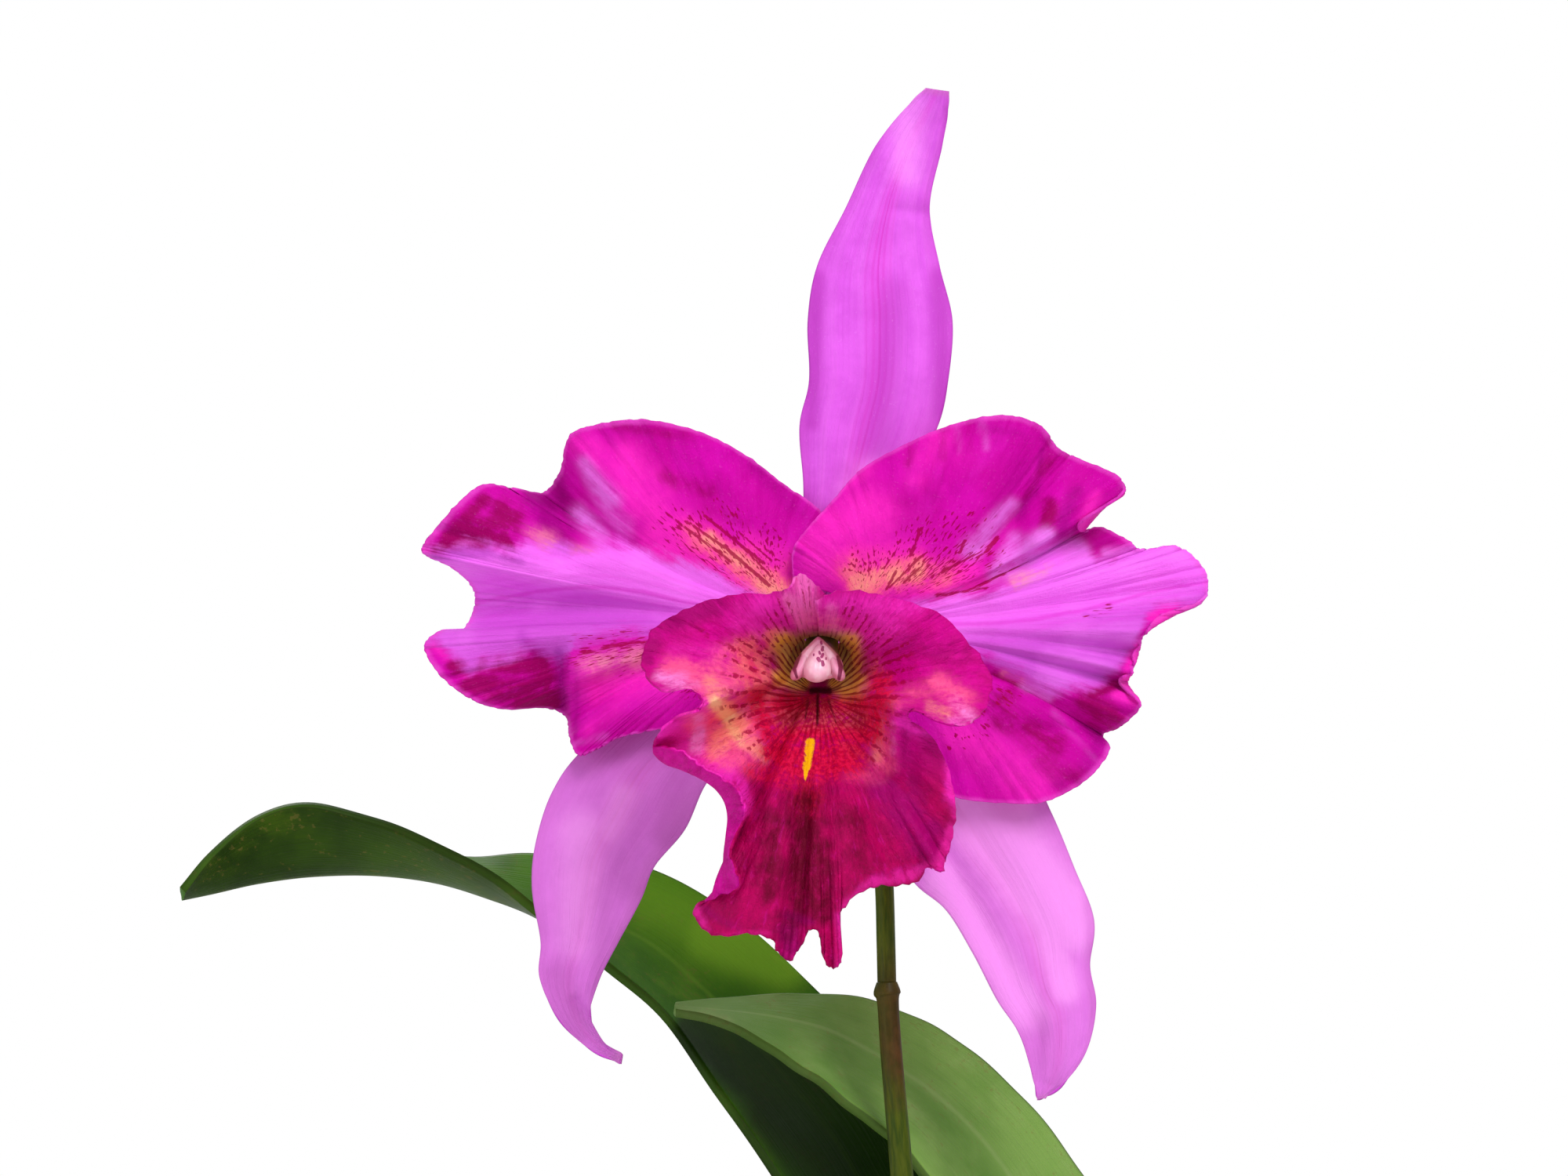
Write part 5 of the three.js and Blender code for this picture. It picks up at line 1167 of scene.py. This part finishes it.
def stemFinish():
    f = Finish("stem_skin", 0.42, Specular_IOR_Level=0.15, Subsurface_Weight=0.08,
               Subsurface_Radius=(0.5, 0.8, 0.2), Subsurface_Scale=1 * mm)
    u, _ = f.along()
    x, _, z = f.axes()
    height = z * toMm - stemPlan["nodeHeight"]
    grainLines = f.clouds(f.vector(u * 16, z * 160), 1, 4, 0.6)
    mottle = f.clouds(f.place(), 240, 4, 0.6)
    side = f.step(x * toMm + f.clouds(f.place(), 60, 2) * 3, -7, 1)
    green = f.mix(f.step(grainLines, 0.3, 0.7), srgb(44, 64, 0), srgb(76, 86, 4))
    green = f.mix((1 - f.step(height, -70, 0)) * 0.5, green, srgb(24, 36, 0))
    green = f.mix(f.step(height, 20, 45) * 0.6, green, srgb(120, 150, 60))
    purple = f.mix(f.step(mottle, 0.3, 0.7), srgb(48, 30, 0), srgb(78, 46, 18))
    near = (1 - f.step(abs(height + 6 + (mottle - 0.5) * 8), 4, 17)) * (side * 0.6 + 0.4)
    colour = f.mix(near.atLeast(f.step(-30 - height, 0, 30) * 0.35 * side), green, purple)
    return f.finish(colour, f.step(mottle, 0.2, 0.8) * 0.2 + 0.34, grainLines * 0.6 + mottle * 0.4, 0.2)


def huskFinish():
    f = Finish("husk_paper", 0.6, Subsurface_Weight=0.1, Subsurface_Scale=1 * mm)
    u, v = f.along()
    fibres = f.clouds(f.vector(u * 60, v * 5), 1, 4, 0.6)
    mottle = f.clouds(f.place(), 150, 4, 0.6)
    colour = f.mix(f.step(fibres, 0.3, 0.7), srgb(150, 134, 84), srgb(196, 182, 130))
    colour = f.mix(f.step(mottle, 0.5, 0.7) * 0.6, colour, srgb(118, 84, 48))
    return f.finish(colour, None, fibres * 0.8 + mottle * 0.3, 0.3)


def flowerStem():
    skin = stemFinish()
    gridPiece("peduncle_stem", *stemPlan["stemGrid"], stemPlace(stemPlan["peduncle"]), [skin],
              "peduncle", "stem", closed=True)

    def ovary(turn, t):
        swollen = np.clip((t - stemPlan["ovaryStart"]) * 3, 0, 1)
        return 1 + stemPlan["ovaryRidge"] * np.cos(3 * turn) * swollen
    gridPiece("pedicel_stem", *stemPlan["stemGrid"], stemPlace(stemPlan["pedicel"], ovary), [skin],
              "pedicel", "stem", closed=True)

    def spathe(us, vs):
        line = splineAt(stemPlan["spathe"], vs)
        turn = 2 * math.pi * us
        skew = 1 + 0.1 * np.sin(turn) * vs ** 6
        x = line[:, 0] + line[:, 3] * np.cos(turn)
        y = line[:, 1] + line[:, 4] * np.sin(turn)
        z = line[:, 2] - stemPlan["mouthDip"] * vs ** 5 * (0.5 + 0.5 * np.cos(2 * turn)) * skew
        return np.stack([x, y, z + ripple(us, stemPlan["mouthWave"], 5) * vs ** 4], axis=1)
    gridPiece("spathe_sheath", *stemPlan["sheathGrid"], spathe, [huskFinish()], "spathe", "husk",
              closed=True, thickness=stemPlan["sheathWall"])


flowerStem()
print("flower stem ready")


# Leaves

leafPlan = {
    "thickness": 1.5,
    "one": {
        "near": [(-3.4, 3, 211.3), (-6.7, 9, 229), (-13.9, 14, 242.7), (-22.8, 20, 256.1),
                 (-32.2, 24, 269.2), (-41.7, 28, 282.4), (-52.6, 30, 291.7), (-61.3, 30, 298.7),
                 (-70.2, 31, 305.8), (-81, 31, 311.9), (-91.8, 31, 316.4), (-102.6, 31, 319.1),
                 (-112.1, 32, 317), (-120.3, 33, 310.5), (-125.5, 35, 304.3)],
        "rib": [(1.4, 6, 211.3), (0.8, 20, 229.4), (-3.9, 30, 243.1), (-12.3, 38, 259.3),
                (-23.6, 44, 273.1), (-35.2, 47, 285.2), (-46.9, 48, 294.8), (-59.2, 47, 298.7),
                (-70.8, 45, 302.3), (-81.7, 44, 305.6), (-92.5, 43, 307.1), (-103.4, 42, 307),
                (-112.9, 41, 305.8), (-121, 40, 304), (-126, 38, 303)],
        "far": [(6, 4, 211.3), (9.5, 26, 235), (7.2, 42, 251.4), (-0.9, 50, 269.2),
                (-13.9, 56, 283.3), (-26.3, 58, 294.9), (-39.5, 60, 303.8), (-53.4, 62, 308.2),
                (-65.9, 62, 309), (-77, 60, 308.5), (-90.7, 58, 310.1), (-101.6, 56, 311.6),
                (-112.4, 52, 311.1), (-120.8, 46, 307.2), (-126.3, 40.5, 303.8)],
        # dusk strokes are painted shade, mostly the second leaf's shadow on this one; light strokes are
        # painted light where it faces the lamp
        "dusk": [(-23, -70, 14, -96, 2.6, 9, 1.2), (-8, -84, 14, -110, 6, 12, 1.1),
                 (-90, -28, -56, -42, 3, 3.4, 0.5)],
        "light": [(-36, -46, -22, -53, 5, 6, 0.6), (-20, -55, -7, -60, 4.4, 4.4, 1.1)],
    },
    "two": {
        "near": [(18, 23.4, 217.6), (17.4, 16, 231.1), (13.3, 10, 242.2), (7, 8, 251.2),
                 (0.9, 8, 258.8), (-4.8, 8, 264.6), (-10, 9, 268.5), (-15.8, 10, 273.1),
                 (-21.5, 12, 276.9), (-27.2, 14, 280.2), (-33.1, 17, 282.8), (-40, 20, 284)],
        "rib": [(22, 26.6, 217.6), (23.7, 29, 227.8), (23.3, 30, 239.8), (19, 30, 251.3),
                (12.2, 29, 261.1), (4.1, 28, 269), (-5.4, 27, 275.5), (-13.4, 26, 279.8),
                (-20.2, 25, 281.8), (-26.9, 24, 283), (-33.6, 22.5, 283.8), (-40.3, 21.5, 284.5)],
        "far": [(25.2, 25.4, 217.6), (32.4, 36, 230), (35.9, 44, 240.3), (33.6, 46, 248.3),
                (27.8, 46, 257.2), (19.6, 45, 267.3), (11.1, 43, 275.4), (3, 41, 280.5),
                (-6.7, 38, 284.8), (-18.8, 34, 285.8), (-31, 28, 285.6), (-40.1, 23, 285)],
    },
    "three": {
        "spine": [(47, 36, 183.4), (53, 38, 198), (62, 42, 212), (88, 50, 232), (120, 56, 236),
                  (150, 58, 224), (172, 58, 204)],
        "widths": [3.4, 8, 14, 20, 20, 13, 1],
    },
    "four": {
        "spine": [(-38, 24, 171.4), (-42, 29, 186), (-48, 36, 200), (-62, 60, 224), (-74, 90, 232),
                  (-82, 118, 222), (-86, 140, 202)],
        "widths": [3.4, 8, 13, 19, 19, 12, 1],
    },
    "fold": 0.42, "grid": (40, 130), "wave": (0.5, (2, 5, 9)),
    # each foot narrows and sinks into the tip of its bulb: where, how deep, how much, how far up
    "seats": [(1.2, 2.6), (21.4, 25), (47, 36), (-38, 24)],
    "sink": 3, "narrow": 0.45, "footShare": 0.05,
}


def leafEdges(spine, widths, fold):
    spots = np.linspace(0, 1, len(spine))
    along = heading(spine, spots)
    side = np.cross([0, 0, 1], along)
    side /= np.linalg.norm(side, axis=1)[:, None]
    up = np.cross(along, side)
    half = np.array(widths)[:, None]
    line = np.array(spine, float)
    rise = up * half * math.sin(fold)
    return line + side * half * math.cos(fold) + rise, line - side * half * math.cos(fold) + rise


def leafFinish(name, light, dark, bright):
    f = Finish(name, 0.42, Specular_IOR_Level=0.1, Subsurface_Weight=0.04,
               Subsurface_Radius=(0.4, 0.9, 0.2), Subsurface_Scale=1 * mm)
    u, v = f.along()
    where = f.place()
    lines = f.clouds(f.vector(u * 70, v * 3), 1, 4, 0.6)
    cloudy = f.clouds(where, 24, 4, 0.6)
    mottle = f.clouds(where, 90, 5, 0.6)
    fine = f.clouds(where, 900, 3, 0.6)
    centre = abs(u - 0.5)
    colour = f.mix(f.step(cloudy, 0.35, 0.65), light, dark)
    colour = f.mix(f.step(mottle, 0.45, 0.75) * 0.5, colour, bright)
    colour = f.mix(f.step(lines, 0.45, 0.75) * 0.3, colour, dark)
    colour = f.mix((1 - f.step(centre, 0.004, 0.03)) * 0.4, colour, bright)
    rust = f.step(fine + mottle * 0.5, 0.86, 0.94)
    colour = f.mix(rust * 0.3, colour, srgb(122, 104, 52))
    edge = f.step(centre + (mottle - 0.5) * 0.008, 0.488, 0.5)
    colour = f.mix(edge * 0.7, colour, srgb(46, 62, 16))
    # painted light
    colour = f.mix(f.step(f.mark("light"), 0.05, 1) * 0.75, colour, srgb(120, 178, 34))
    # painted shade and shadow
    colour = f.mix(f.step(f.mark("dusk"), 0.1, 0.9) * 0.8, colour, srgb(10, 26, 0))
    return f.finish(colour, f.step(mottle, 0.2, 0.8) * 0.15 + 0.36, lines * 0.7 + fine * 0.2, 0.25)


def leaves():
    face = leafFinish("leaf_face", srgb(74, 130, 8), srgb(50, 104, 2), srgb(104, 152, 36))
    # a paler, greyer copy of the leaf face, for the second leaf
    paler_face = leafFinish("leaf_grey_face", srgb(122, 158, 74), srgb(88, 132, 44), srgb(142, 168, 98))
    # the underside: a darker green copy of the face, partly painted shade for a side turned from the
    # light
    under = leafFinish("leaf_under", srgb(52, 84, 0), srgb(26, 50, 0), srgb(70, 98, 4))
    for index, key in enumerate(("one", "two", "three", "four")):
        plan = leafPlan[key]
        if "spine" in plan:
            near, far = leafEdges(plan["spine"], plan["widths"], leafPlan["fold"])
            rib = np.array(plan["spine"], float)
        else:
            near, rib, far = (np.array(plan[k], float) for k in ("near", "rib", "far"))
        plain = bladePlace(near, rib, far, 1.5)

        def place(us, vs, plain=plain, index=index):
            points = plain(us, vs)
            edge = np.abs(2 * us - 1) ** 2
            points[:, 2] += ripple(vs, leafPlan["wave"], 40 + index) * edge * np.sin(math.pi * vs)
            foot = np.clip(1 - vs / leafPlan["footShare"], 0, 1)[:, None] ** 2
            inward = np.array(leafPlan["seats"][index]) - points[:, :2]
            points[:, :2] += inward * leafPlan["narrow"] * foot
            points[:, 2:] -= leafPlan["sink"] * foot
            return points
        top = paler_face if key == "two" else face
        # strokes of painted shade and painted light
        marks = painted({tone: plan.get(tone, []) for tone in ("dusk", "light")})
        gridPiece("leaf_" + key + "_blade", *leafPlan["grid"], place, [top, under],
                  "leaf_" + str(index + 1), "leaf", marks, thickness=leafPlan["thickness"])


leaves()
print("leaves ready")


# Swollen stems with their dry sheaths

growthPlan = {
    "growths": [((-10, -10, 96.8), (1.2, 1.6, 209.6), 12), ((10, 8, 96.8), (21.4, 25, 216.2), 12),
                ((28, 24, 96.8), (47, 36, 182), 11), ((-22, 10, 96.8), (-38, 24, 170), 11)],
    "girths": [0, 0.06, 0.3, 0.62, 0.9, 1, 0.86, 0.44, 0.02],
    "footRadius": 5, "ribs": 7, "bow": 3,
    "tipRise": 1.8, "tipShare": 0.05, "tipBlunt": 0.5,  # each tip closes round the foot of its leaf
    "bulbGrid": (70, 90), "huskGrid": (60, 40), "huskWall": 0.35, "ribDepth": 0.055,
    # a husk starts low, reaches up, each one further than the last, and is torn at its top
    "huskSpan": (0.03, 0.3, 0.05), "huskTop": 0.95, "tear": (0.06, (2, 5, 9)), "huskGirth": 1.07,
}


def growthLine(foot, apex, fat):
    line = []
    reach = 1 + growthPlan["tipRise"] / math.dist(foot, apex)
    for k, share in enumerate(growthPlan["girths"]):
        t = k / (len(growthPlan["girths"]) - 1)
        spot = [a + (b - a) * t * reach for a, b in zip(foot, apex)]
        spot[1] -= growthPlan["bow"] * math.sin(math.pi * t)
        thin = growthPlan["footRadius"]
        line.append((*spot, thin + (fat - thin) * share))
    return line


def bulbFinish():
    f = Finish("bulb_skin", 0.42, Subsurface_Weight=0.06, Subsurface_Radius=(0.5, 0.8, 0.2),
               Subsurface_Scale=1.5 * mm)
    u, v = f.along()
    grooves = f.clouds(f.vector(u * 44, v * 3), 1, 4, 0.6)
    mottle = f.clouds(f.place(), 60, 5, 0.6)
    colour = f.mix(f.step(mottle, 0.3, 0.7), srgb(138, 154, 70), srgb(98, 124, 42))
    colour = f.mix(f.step(grooves, 0.5, 0.75) * 0.5, colour, srgb(74, 92, 26))
    colour = f.mix((1 - f.step(v + (mottle - 0.5) * 0.2, 0.02, 0.2)) * 0.7, colour, srgb(150, 120, 70))
    return f.finish(colour, f.step(mottle, 0.2, 0.8) * 0.25 + 0.32, grooves * 0.9 + mottle * 0.3, 0.5)


def growths():
    skin, paper = bulbFinish(), huskFinish()
    ribs = growthPlan["ribs"]

    def ribbed(turn, t):
        ridge = np.abs(np.cos(ribs * turn / 2)) * 2 - 1
        return 1 + growthPlan["ribDepth"] * ridge * np.sin(math.pi * t) ** 0.4

    def baggy(turn, t):
        return growthPlan["huskGirth"] + 0.04 * np.sin(3 * turn + 9 * t)

    for index, (foot, apex, fat) in enumerate(growthPlan["growths"]):
        line = growthLine(foot, apex, fat)
        bulb = stemPlace(line, ribbed, growthPlan["tipShare"], growthPlan["tipBlunt"])
        gridPiece("pseudobulb_" + str(index + 1) + "_stem", *growthPlan["bulbGrid"], bulb, [skin],
                  "pseudobulb_" + str(index + 1), "bulb", closed=True)

        def husk(us, vs, line=np.array(line, float), index=index):
            start, reach, more = growthPlan["huskSpan"]
            torn = ripple(us, growthPlan["tear"], 60 + index) * vs ** 3
            spots = start + vs * (reach + more * index) + torn
            return stemPlace(line, baggy)(us, np.clip(spots, start, growthPlan["huskTop"]))
        gridPiece("bulb_husk_" + str(index + 1), *growthPlan["huskGrid"], husk, [paper], None,
                  "husk", closed=True, thickness=growthPlan["huskWall"])


growths()
print("growths ready")


# Creeping stem and roots

rootPlan = {
    "main": [(36, 30.6, 92.6, 4), (28, 24, 93, 5), (10, 8, 93, 5), (-10, -10, 93, 5),
             (-17, -16.4, 93.4, 3.6)],
    "side": [(8, 6.4, 93, 4), (-6, 10.4, 92.6, 4.6), (-22, 10, 93, 5), (-29, 9.4, 93.4, 3.4)],
    "roots": [
        [(-14, -12, 93, 2), (-26, -25, 95.5, 2), (-38, -37, 103, 1.9), (-41.5, -41, 108.4, 1.8),
         (-46.6, -46.6, 107.6, 1.7), (-49.4, -49.8, 97, 1.6), (-48.6, -49.4, 80, 1.2)],
        [(-6, -8, 93, 2), (-2, -24, 94.5, 2), (8, -38, 94.5, 1.9), (16, -44, 88, 1.7)],
        [(6, 2, 93, 2), (22, -8, 95, 2), (38, -14, 96, 1.9), (48, -14, 88, 1.7)],
        [(-12, -10, 93, 2), (-32, -9, 95.5, 2), (-46, 2, 93, 1.9), (-48, 6, 86, 1.7)],
        [(20, 18, 93, 2), (14, 34, 95, 2), (4, 46, 93, 1.9), (0, 50, 86, 1.7)],
        [(30, 26, 93, 2), (44, 18, 96, 2), (54, 14, 105, 1.9), (58, 13.5, 109, 1.8),
         (65, 12.5, 106.5, 1.7), (67.5, 12, 96, 1.6), (66.5, 12, 84, 1.2)],
    ],
    "stemGrid": (28, 90), "rootGrid": (18, 90), "rootTip": 0.02,
    "ringDepth": 0.05, "rings": 60,
}


def rootFinish():
    f = Finish("root_velamen", 0.8, Subsurface_Weight=0.05, Subsurface_Scale=1 * mm)
    _, v = f.along()
    mottle = f.clouds(f.place(), 160, 5, 0.6)
    fine = f.clouds(f.place(), 1500, 3, 0.6)
    colour = f.mix(f.step(mottle, 0.3, 0.7), srgb(196, 192, 170), srgb(160, 150, 118))
    colour = f.mix(f.step(fine, 0.55, 0.7) * 0.4, colour, srgb(124, 108, 74))
    colour = f.mix(f.step(v, 0.9, 0.97), colour, srgb(110, 140, 50))
    return f.finish(colour, None, mottle * 0.6 + fine * 0.3, 0.4)


def rhizomeFinish():
    f = Finish("rhizome_bark", 0.75)
    u, v = f.along()
    scales = f.clouds(f.vector(u * 20, v * 30), 1, 4, 0.6)
    mottle = f.clouds(f.place(), 200, 4, 0.6)
    colour = f.mix(f.step(scales, 0.35, 0.65), srgb(96, 70, 38), srgb(150, 124, 74))
    colour = f.mix(f.step(mottle, 0.5, 0.7) * 0.4, colour, srgb(100, 110, 50))
    return f.finish(colour, None, scales * 0.8 + mottle * 0.4, 0.6)


def creepingStem():
    bark, skin = rhizomeFinish(), rootFinish()

    def ringed(turn, t):
        return 1 + rootPlan["ringDepth"] * np.sin(t * rootPlan["rings"]) + 0.02 * np.sin(3 * turn)

    for key in ("main", "side"):
        gridPiece("rhizome_" + key, *rootPlan["stemGrid"], stemPlace(rootPlan[key], ringed), [bark],
                  "rhizome" if key == "main" else None, "root", closed=True)
    for index, line in enumerate(rootPlan["roots"]):
        dice = random.Random(index)
        lumps = [dice.uniform(0, 6.28) for _ in range(3)]

        def lumpy(turn, t, lumps=lumps):
            return (1 + 0.05 * np.sin(22 * t + lumps[0]) + 0.04 * np.sin(2 * turn + lumps[1])
                    + 0.03 * np.sin(51 * t + lumps[2]))
        root = stemPlace(line, lumpy, rootPlan["rootTip"])
        gridPiece("root_" + str(index + 1), *rootPlan["rootGrid"], root, [skin], None, "root",
                  closed=True)


creepingStem()
print("roots ready")


# Pot

potPlan = {
    "profile": [(0, 0), (40.5, 0), (41.6, 0.4), (42, 1.5), (57.2, 81.2), (57.6, 82), (61.2, 82.7),
                (62.1, 83.4), (62.5, 84.6), (62.9, 101), (62.6, 103), (61.6, 104.3), (59.9, 105),
                (58.6, 104.7), (57.5, 103.8), (57, 102.5), (38.3, 7.5), (37.2, 6.4), (36, 6), (0, 6)],
    "steps": 120, "drains": 4, "drainRadius": 5, "drainCircle": 22, "drainDepth": 20,
    "crease": 50,
}


def clayFinish():
    f = Finish("pot_terracotta", 0.85)
    x, y, z = f.axes()
    where = f.place()
    cloudy = f.clouds(where, 14, 5, 0.6, 0.5)
    grain = f.clouds(where, 700, 4, 0.7)
    rings = f.clouds(f.vector(z * 700, (x * x + y * y) * 200), 1, 3, 0.5)
    colour = f.mix(f.step(cloudy, 0.3, 0.7), srgb(190, 104, 66), srgb(168, 84, 50))
    colour = f.mix(f.step(grain, 0.55, 0.75) * 0.35, colour, srgb(214, 142, 102))
    chalk = f.step(f.clouds(where, 30, 6, 0.7, 0.8) + (0.05 - z) * 1.2, 0.56, 0.7)
    colour = f.mix(chalk * 0.45, colour, srgb(218, 190, 166))
    # darker towards the bottom
    darker_bottom = 1 - f.step(z + (cloudy - 0.5) * 0.03, 0.0, 0.016)
    colour = f.mix(darker_bottom * 0.4, colour, srgb(120, 62, 40))
    return f.finish(colour, f.step(grain, 0.3, 0.7) * 0.15 + 0.78, grain * 0.5 + rings * 0.5, 0.35)


def pot():
    bm = bmesh.new()
    verts = [bm.verts.new((r * mm, 0, z * mm)) for r, z in potPlan["profile"]]
    edges = [bm.edges.new(pair) for pair in zip(verts, verts[1:])]
    bmesh.ops.spin(bm, geom=verts + edges, cent=(0, 0, 0), axis=(0, 0, 1), angle=2 * math.pi,
                   steps=potPlan["steps"], use_merge=True)
    bmesh.ops.remove_doubles(bm, verts=bm.verts, dist=tiny)
    bmesh.ops.recalc_face_normals(bm, faces=bm.faces)
    piece = meshPiece("pot_body", bm, [clayFinish()], "pot")
    cutter = bmesh.new()
    for k in range(potPlan["drains"]):
        turn = (k + 0.5) * 2 * math.pi / potPlan["drains"]
        spot = Vector((math.cos(turn), math.sin(turn), 0)) * potPlan["drainCircle"] * mm
        made = bmesh.ops.create_cone(cutter, cap_ends=True, segments=40,
                                     depth=potPlan["drainDepth"] * mm,
                                     radius1=potPlan["drainRadius"] * mm,
                                     radius2=potPlan["drainRadius"] * mm)
        bmesh.ops.translate(cutter, verts=made["verts"], vec=spot)
    tool = bpy.data.meshes.new("drain_tool")
    cutter.to_mesh(tool)
    cutter.free()
    helper = bpy.data.objects.new("drain_tool", tool)
    bpy.context.scene.collection.objects.link(helper)
    cut = piece.modifiers.new("drains", "BOOLEAN")
    cut.operation = "DIFFERENCE"
    cut.object = helper
    cut.solver = "EXACT"
    bpy.context.view_layer.objects.active = piece
    bpy.ops.object.modifier_apply(modifier="drains")
    bpy.data.objects.remove(helper)
    for polygon in piece.data.polygons:
        polygon.use_smooth = True
    edge = piece.modifiers.new("crisp", "EDGE_SPLIT")
    edge.split_angle = math.radians(potPlan["crease"])
    bpy.ops.object.modifier_apply(modifier="crisp")


pot()
print("pot ready")


# Bark

barkPlan = {
    "chips": 230, "top": 90, "reach": 51, "bed": 84, "bedRadius": 52, "bedDepth": 6,
    "turn": 2.39996,  # from chip to chip, the golden angle
    "sizes": ((8, 15), (5, 9), (3, 5.5)), "bevel": 0.9, "jitter": 0.7,
    "tilts": {"X": (-0.45, 0.45), "Y": (-0.45, 0.45), "Z": (0, 6.28)},
    "sink": 1.5, "heap": (-1.5, 2.2), "slope": 0.03,
}


def barkFinish():
    f = Finish("bark_chunks", 0.85)
    where = f.place()
    tint = f.mark("tint")
    layers = f.clouds(where, 260, 5, 0.7, 0.6)
    fine = f.clouds(where, 1300, 4, 0.7)
    colour = f.mix(f.step(tint, 0, 1), srgb(92, 58, 36), srgb(146, 98, 62))
    colour = f.mix(f.step(layers, 0.4, 0.62) * 0.7, colour, srgb(60, 36, 24))
    colour = f.mix(f.step(fine, 0.55, 0.7) * 0.4, colour, srgb(176, 136, 98))
    return f.finish(colour, None, layers * 0.9 + fine * 0.3, 1.0)


def bark():
    dice = random.Random(11)
    bm = bmesh.new()
    tint = bm.verts.layers.float.new("tint")
    bed = bmesh.ops.create_circle(bm, cap_ends=True, segments=72, radius=barkPlan["bedRadius"] * mm)
    bmesh.ops.translate(bm, verts=bed["verts"], vec=(0, 0, barkPlan["bed"] * mm))
    floorFaces = bm.faces[:]
    low = bmesh.ops.extrude_face_region(bm, geom=floorFaces)
    lowered = [v for v in low["geom"] if isinstance(v, bmesh.types.BMVert)]
    bmesh.ops.translate(bm, verts=lowered, vec=(0, 0, -barkPlan["bedDepth"] * mm))
    for k in range(barkPlan["chips"]):
        reach = math.sqrt((k + 0.5) / barkPlan["chips"]) * barkPlan["reach"]
        turn = k * barkPlan["turn"]
        made = bmesh.ops.create_cube(bm, size=1)
        verts = made["verts"]
        size = Vector([dice.uniform(*span) * mm for span in barkPlan["sizes"]])
        bmesh.ops.scale(bm, verts=verts, vec=size)
        edges = list(dict.fromkeys(e for v in verts for e in v.link_edges))
        beveled = bmesh.ops.bevel(bm, geom=edges, offset=barkPlan["bevel"] * mm, segments=1,
                                  offset_type="OFFSET", profile=0.5, affect="EDGES",
                                  clamp_overlap=True, material=-1)
        # corners in a fixed order, so that each run gives the same bark
        verts = sorted({v for face in beveled["faces"] for v in face.verts},
                       key=lambda v: [round(c / mm, 1) for c in v.co])
        shade, jitter = dice.random(), barkPlan["jitter"]
        for vert in verts:
            vert.co += Vector([dice.uniform(-jitter, jitter) * mm for _ in range(3)])
            vert[tint] = shade
        for axis, span in barkPlan["tilts"].items():
            tilt = Matrix.Rotation(dice.uniform(*span), 3, axis)
            bmesh.ops.rotate(bm, verts=verts, cent=(0, 0, 0), matrix=tilt)
        slope = barkPlan["slope"] * (reach / barkPlan["reach"])
        spot = (reach * math.cos(turn) * mm, reach * math.sin(turn) * mm,
                (barkPlan["top"] - barkPlan["sink"] + dice.uniform(*barkPlan["heap"]) - slope) * mm)
        bmesh.ops.translate(bm, verts=verts, vec=spot)
    bmesh.ops.recalc_face_normals(bm, faces=bm.faces)
    piece = meshPiece("bark_pieces", bm, [barkFinish()], "bark_mix")
    for polygon in piece.data.polygons:
        polygon.use_smooth = False


bark()
print("bark ready")
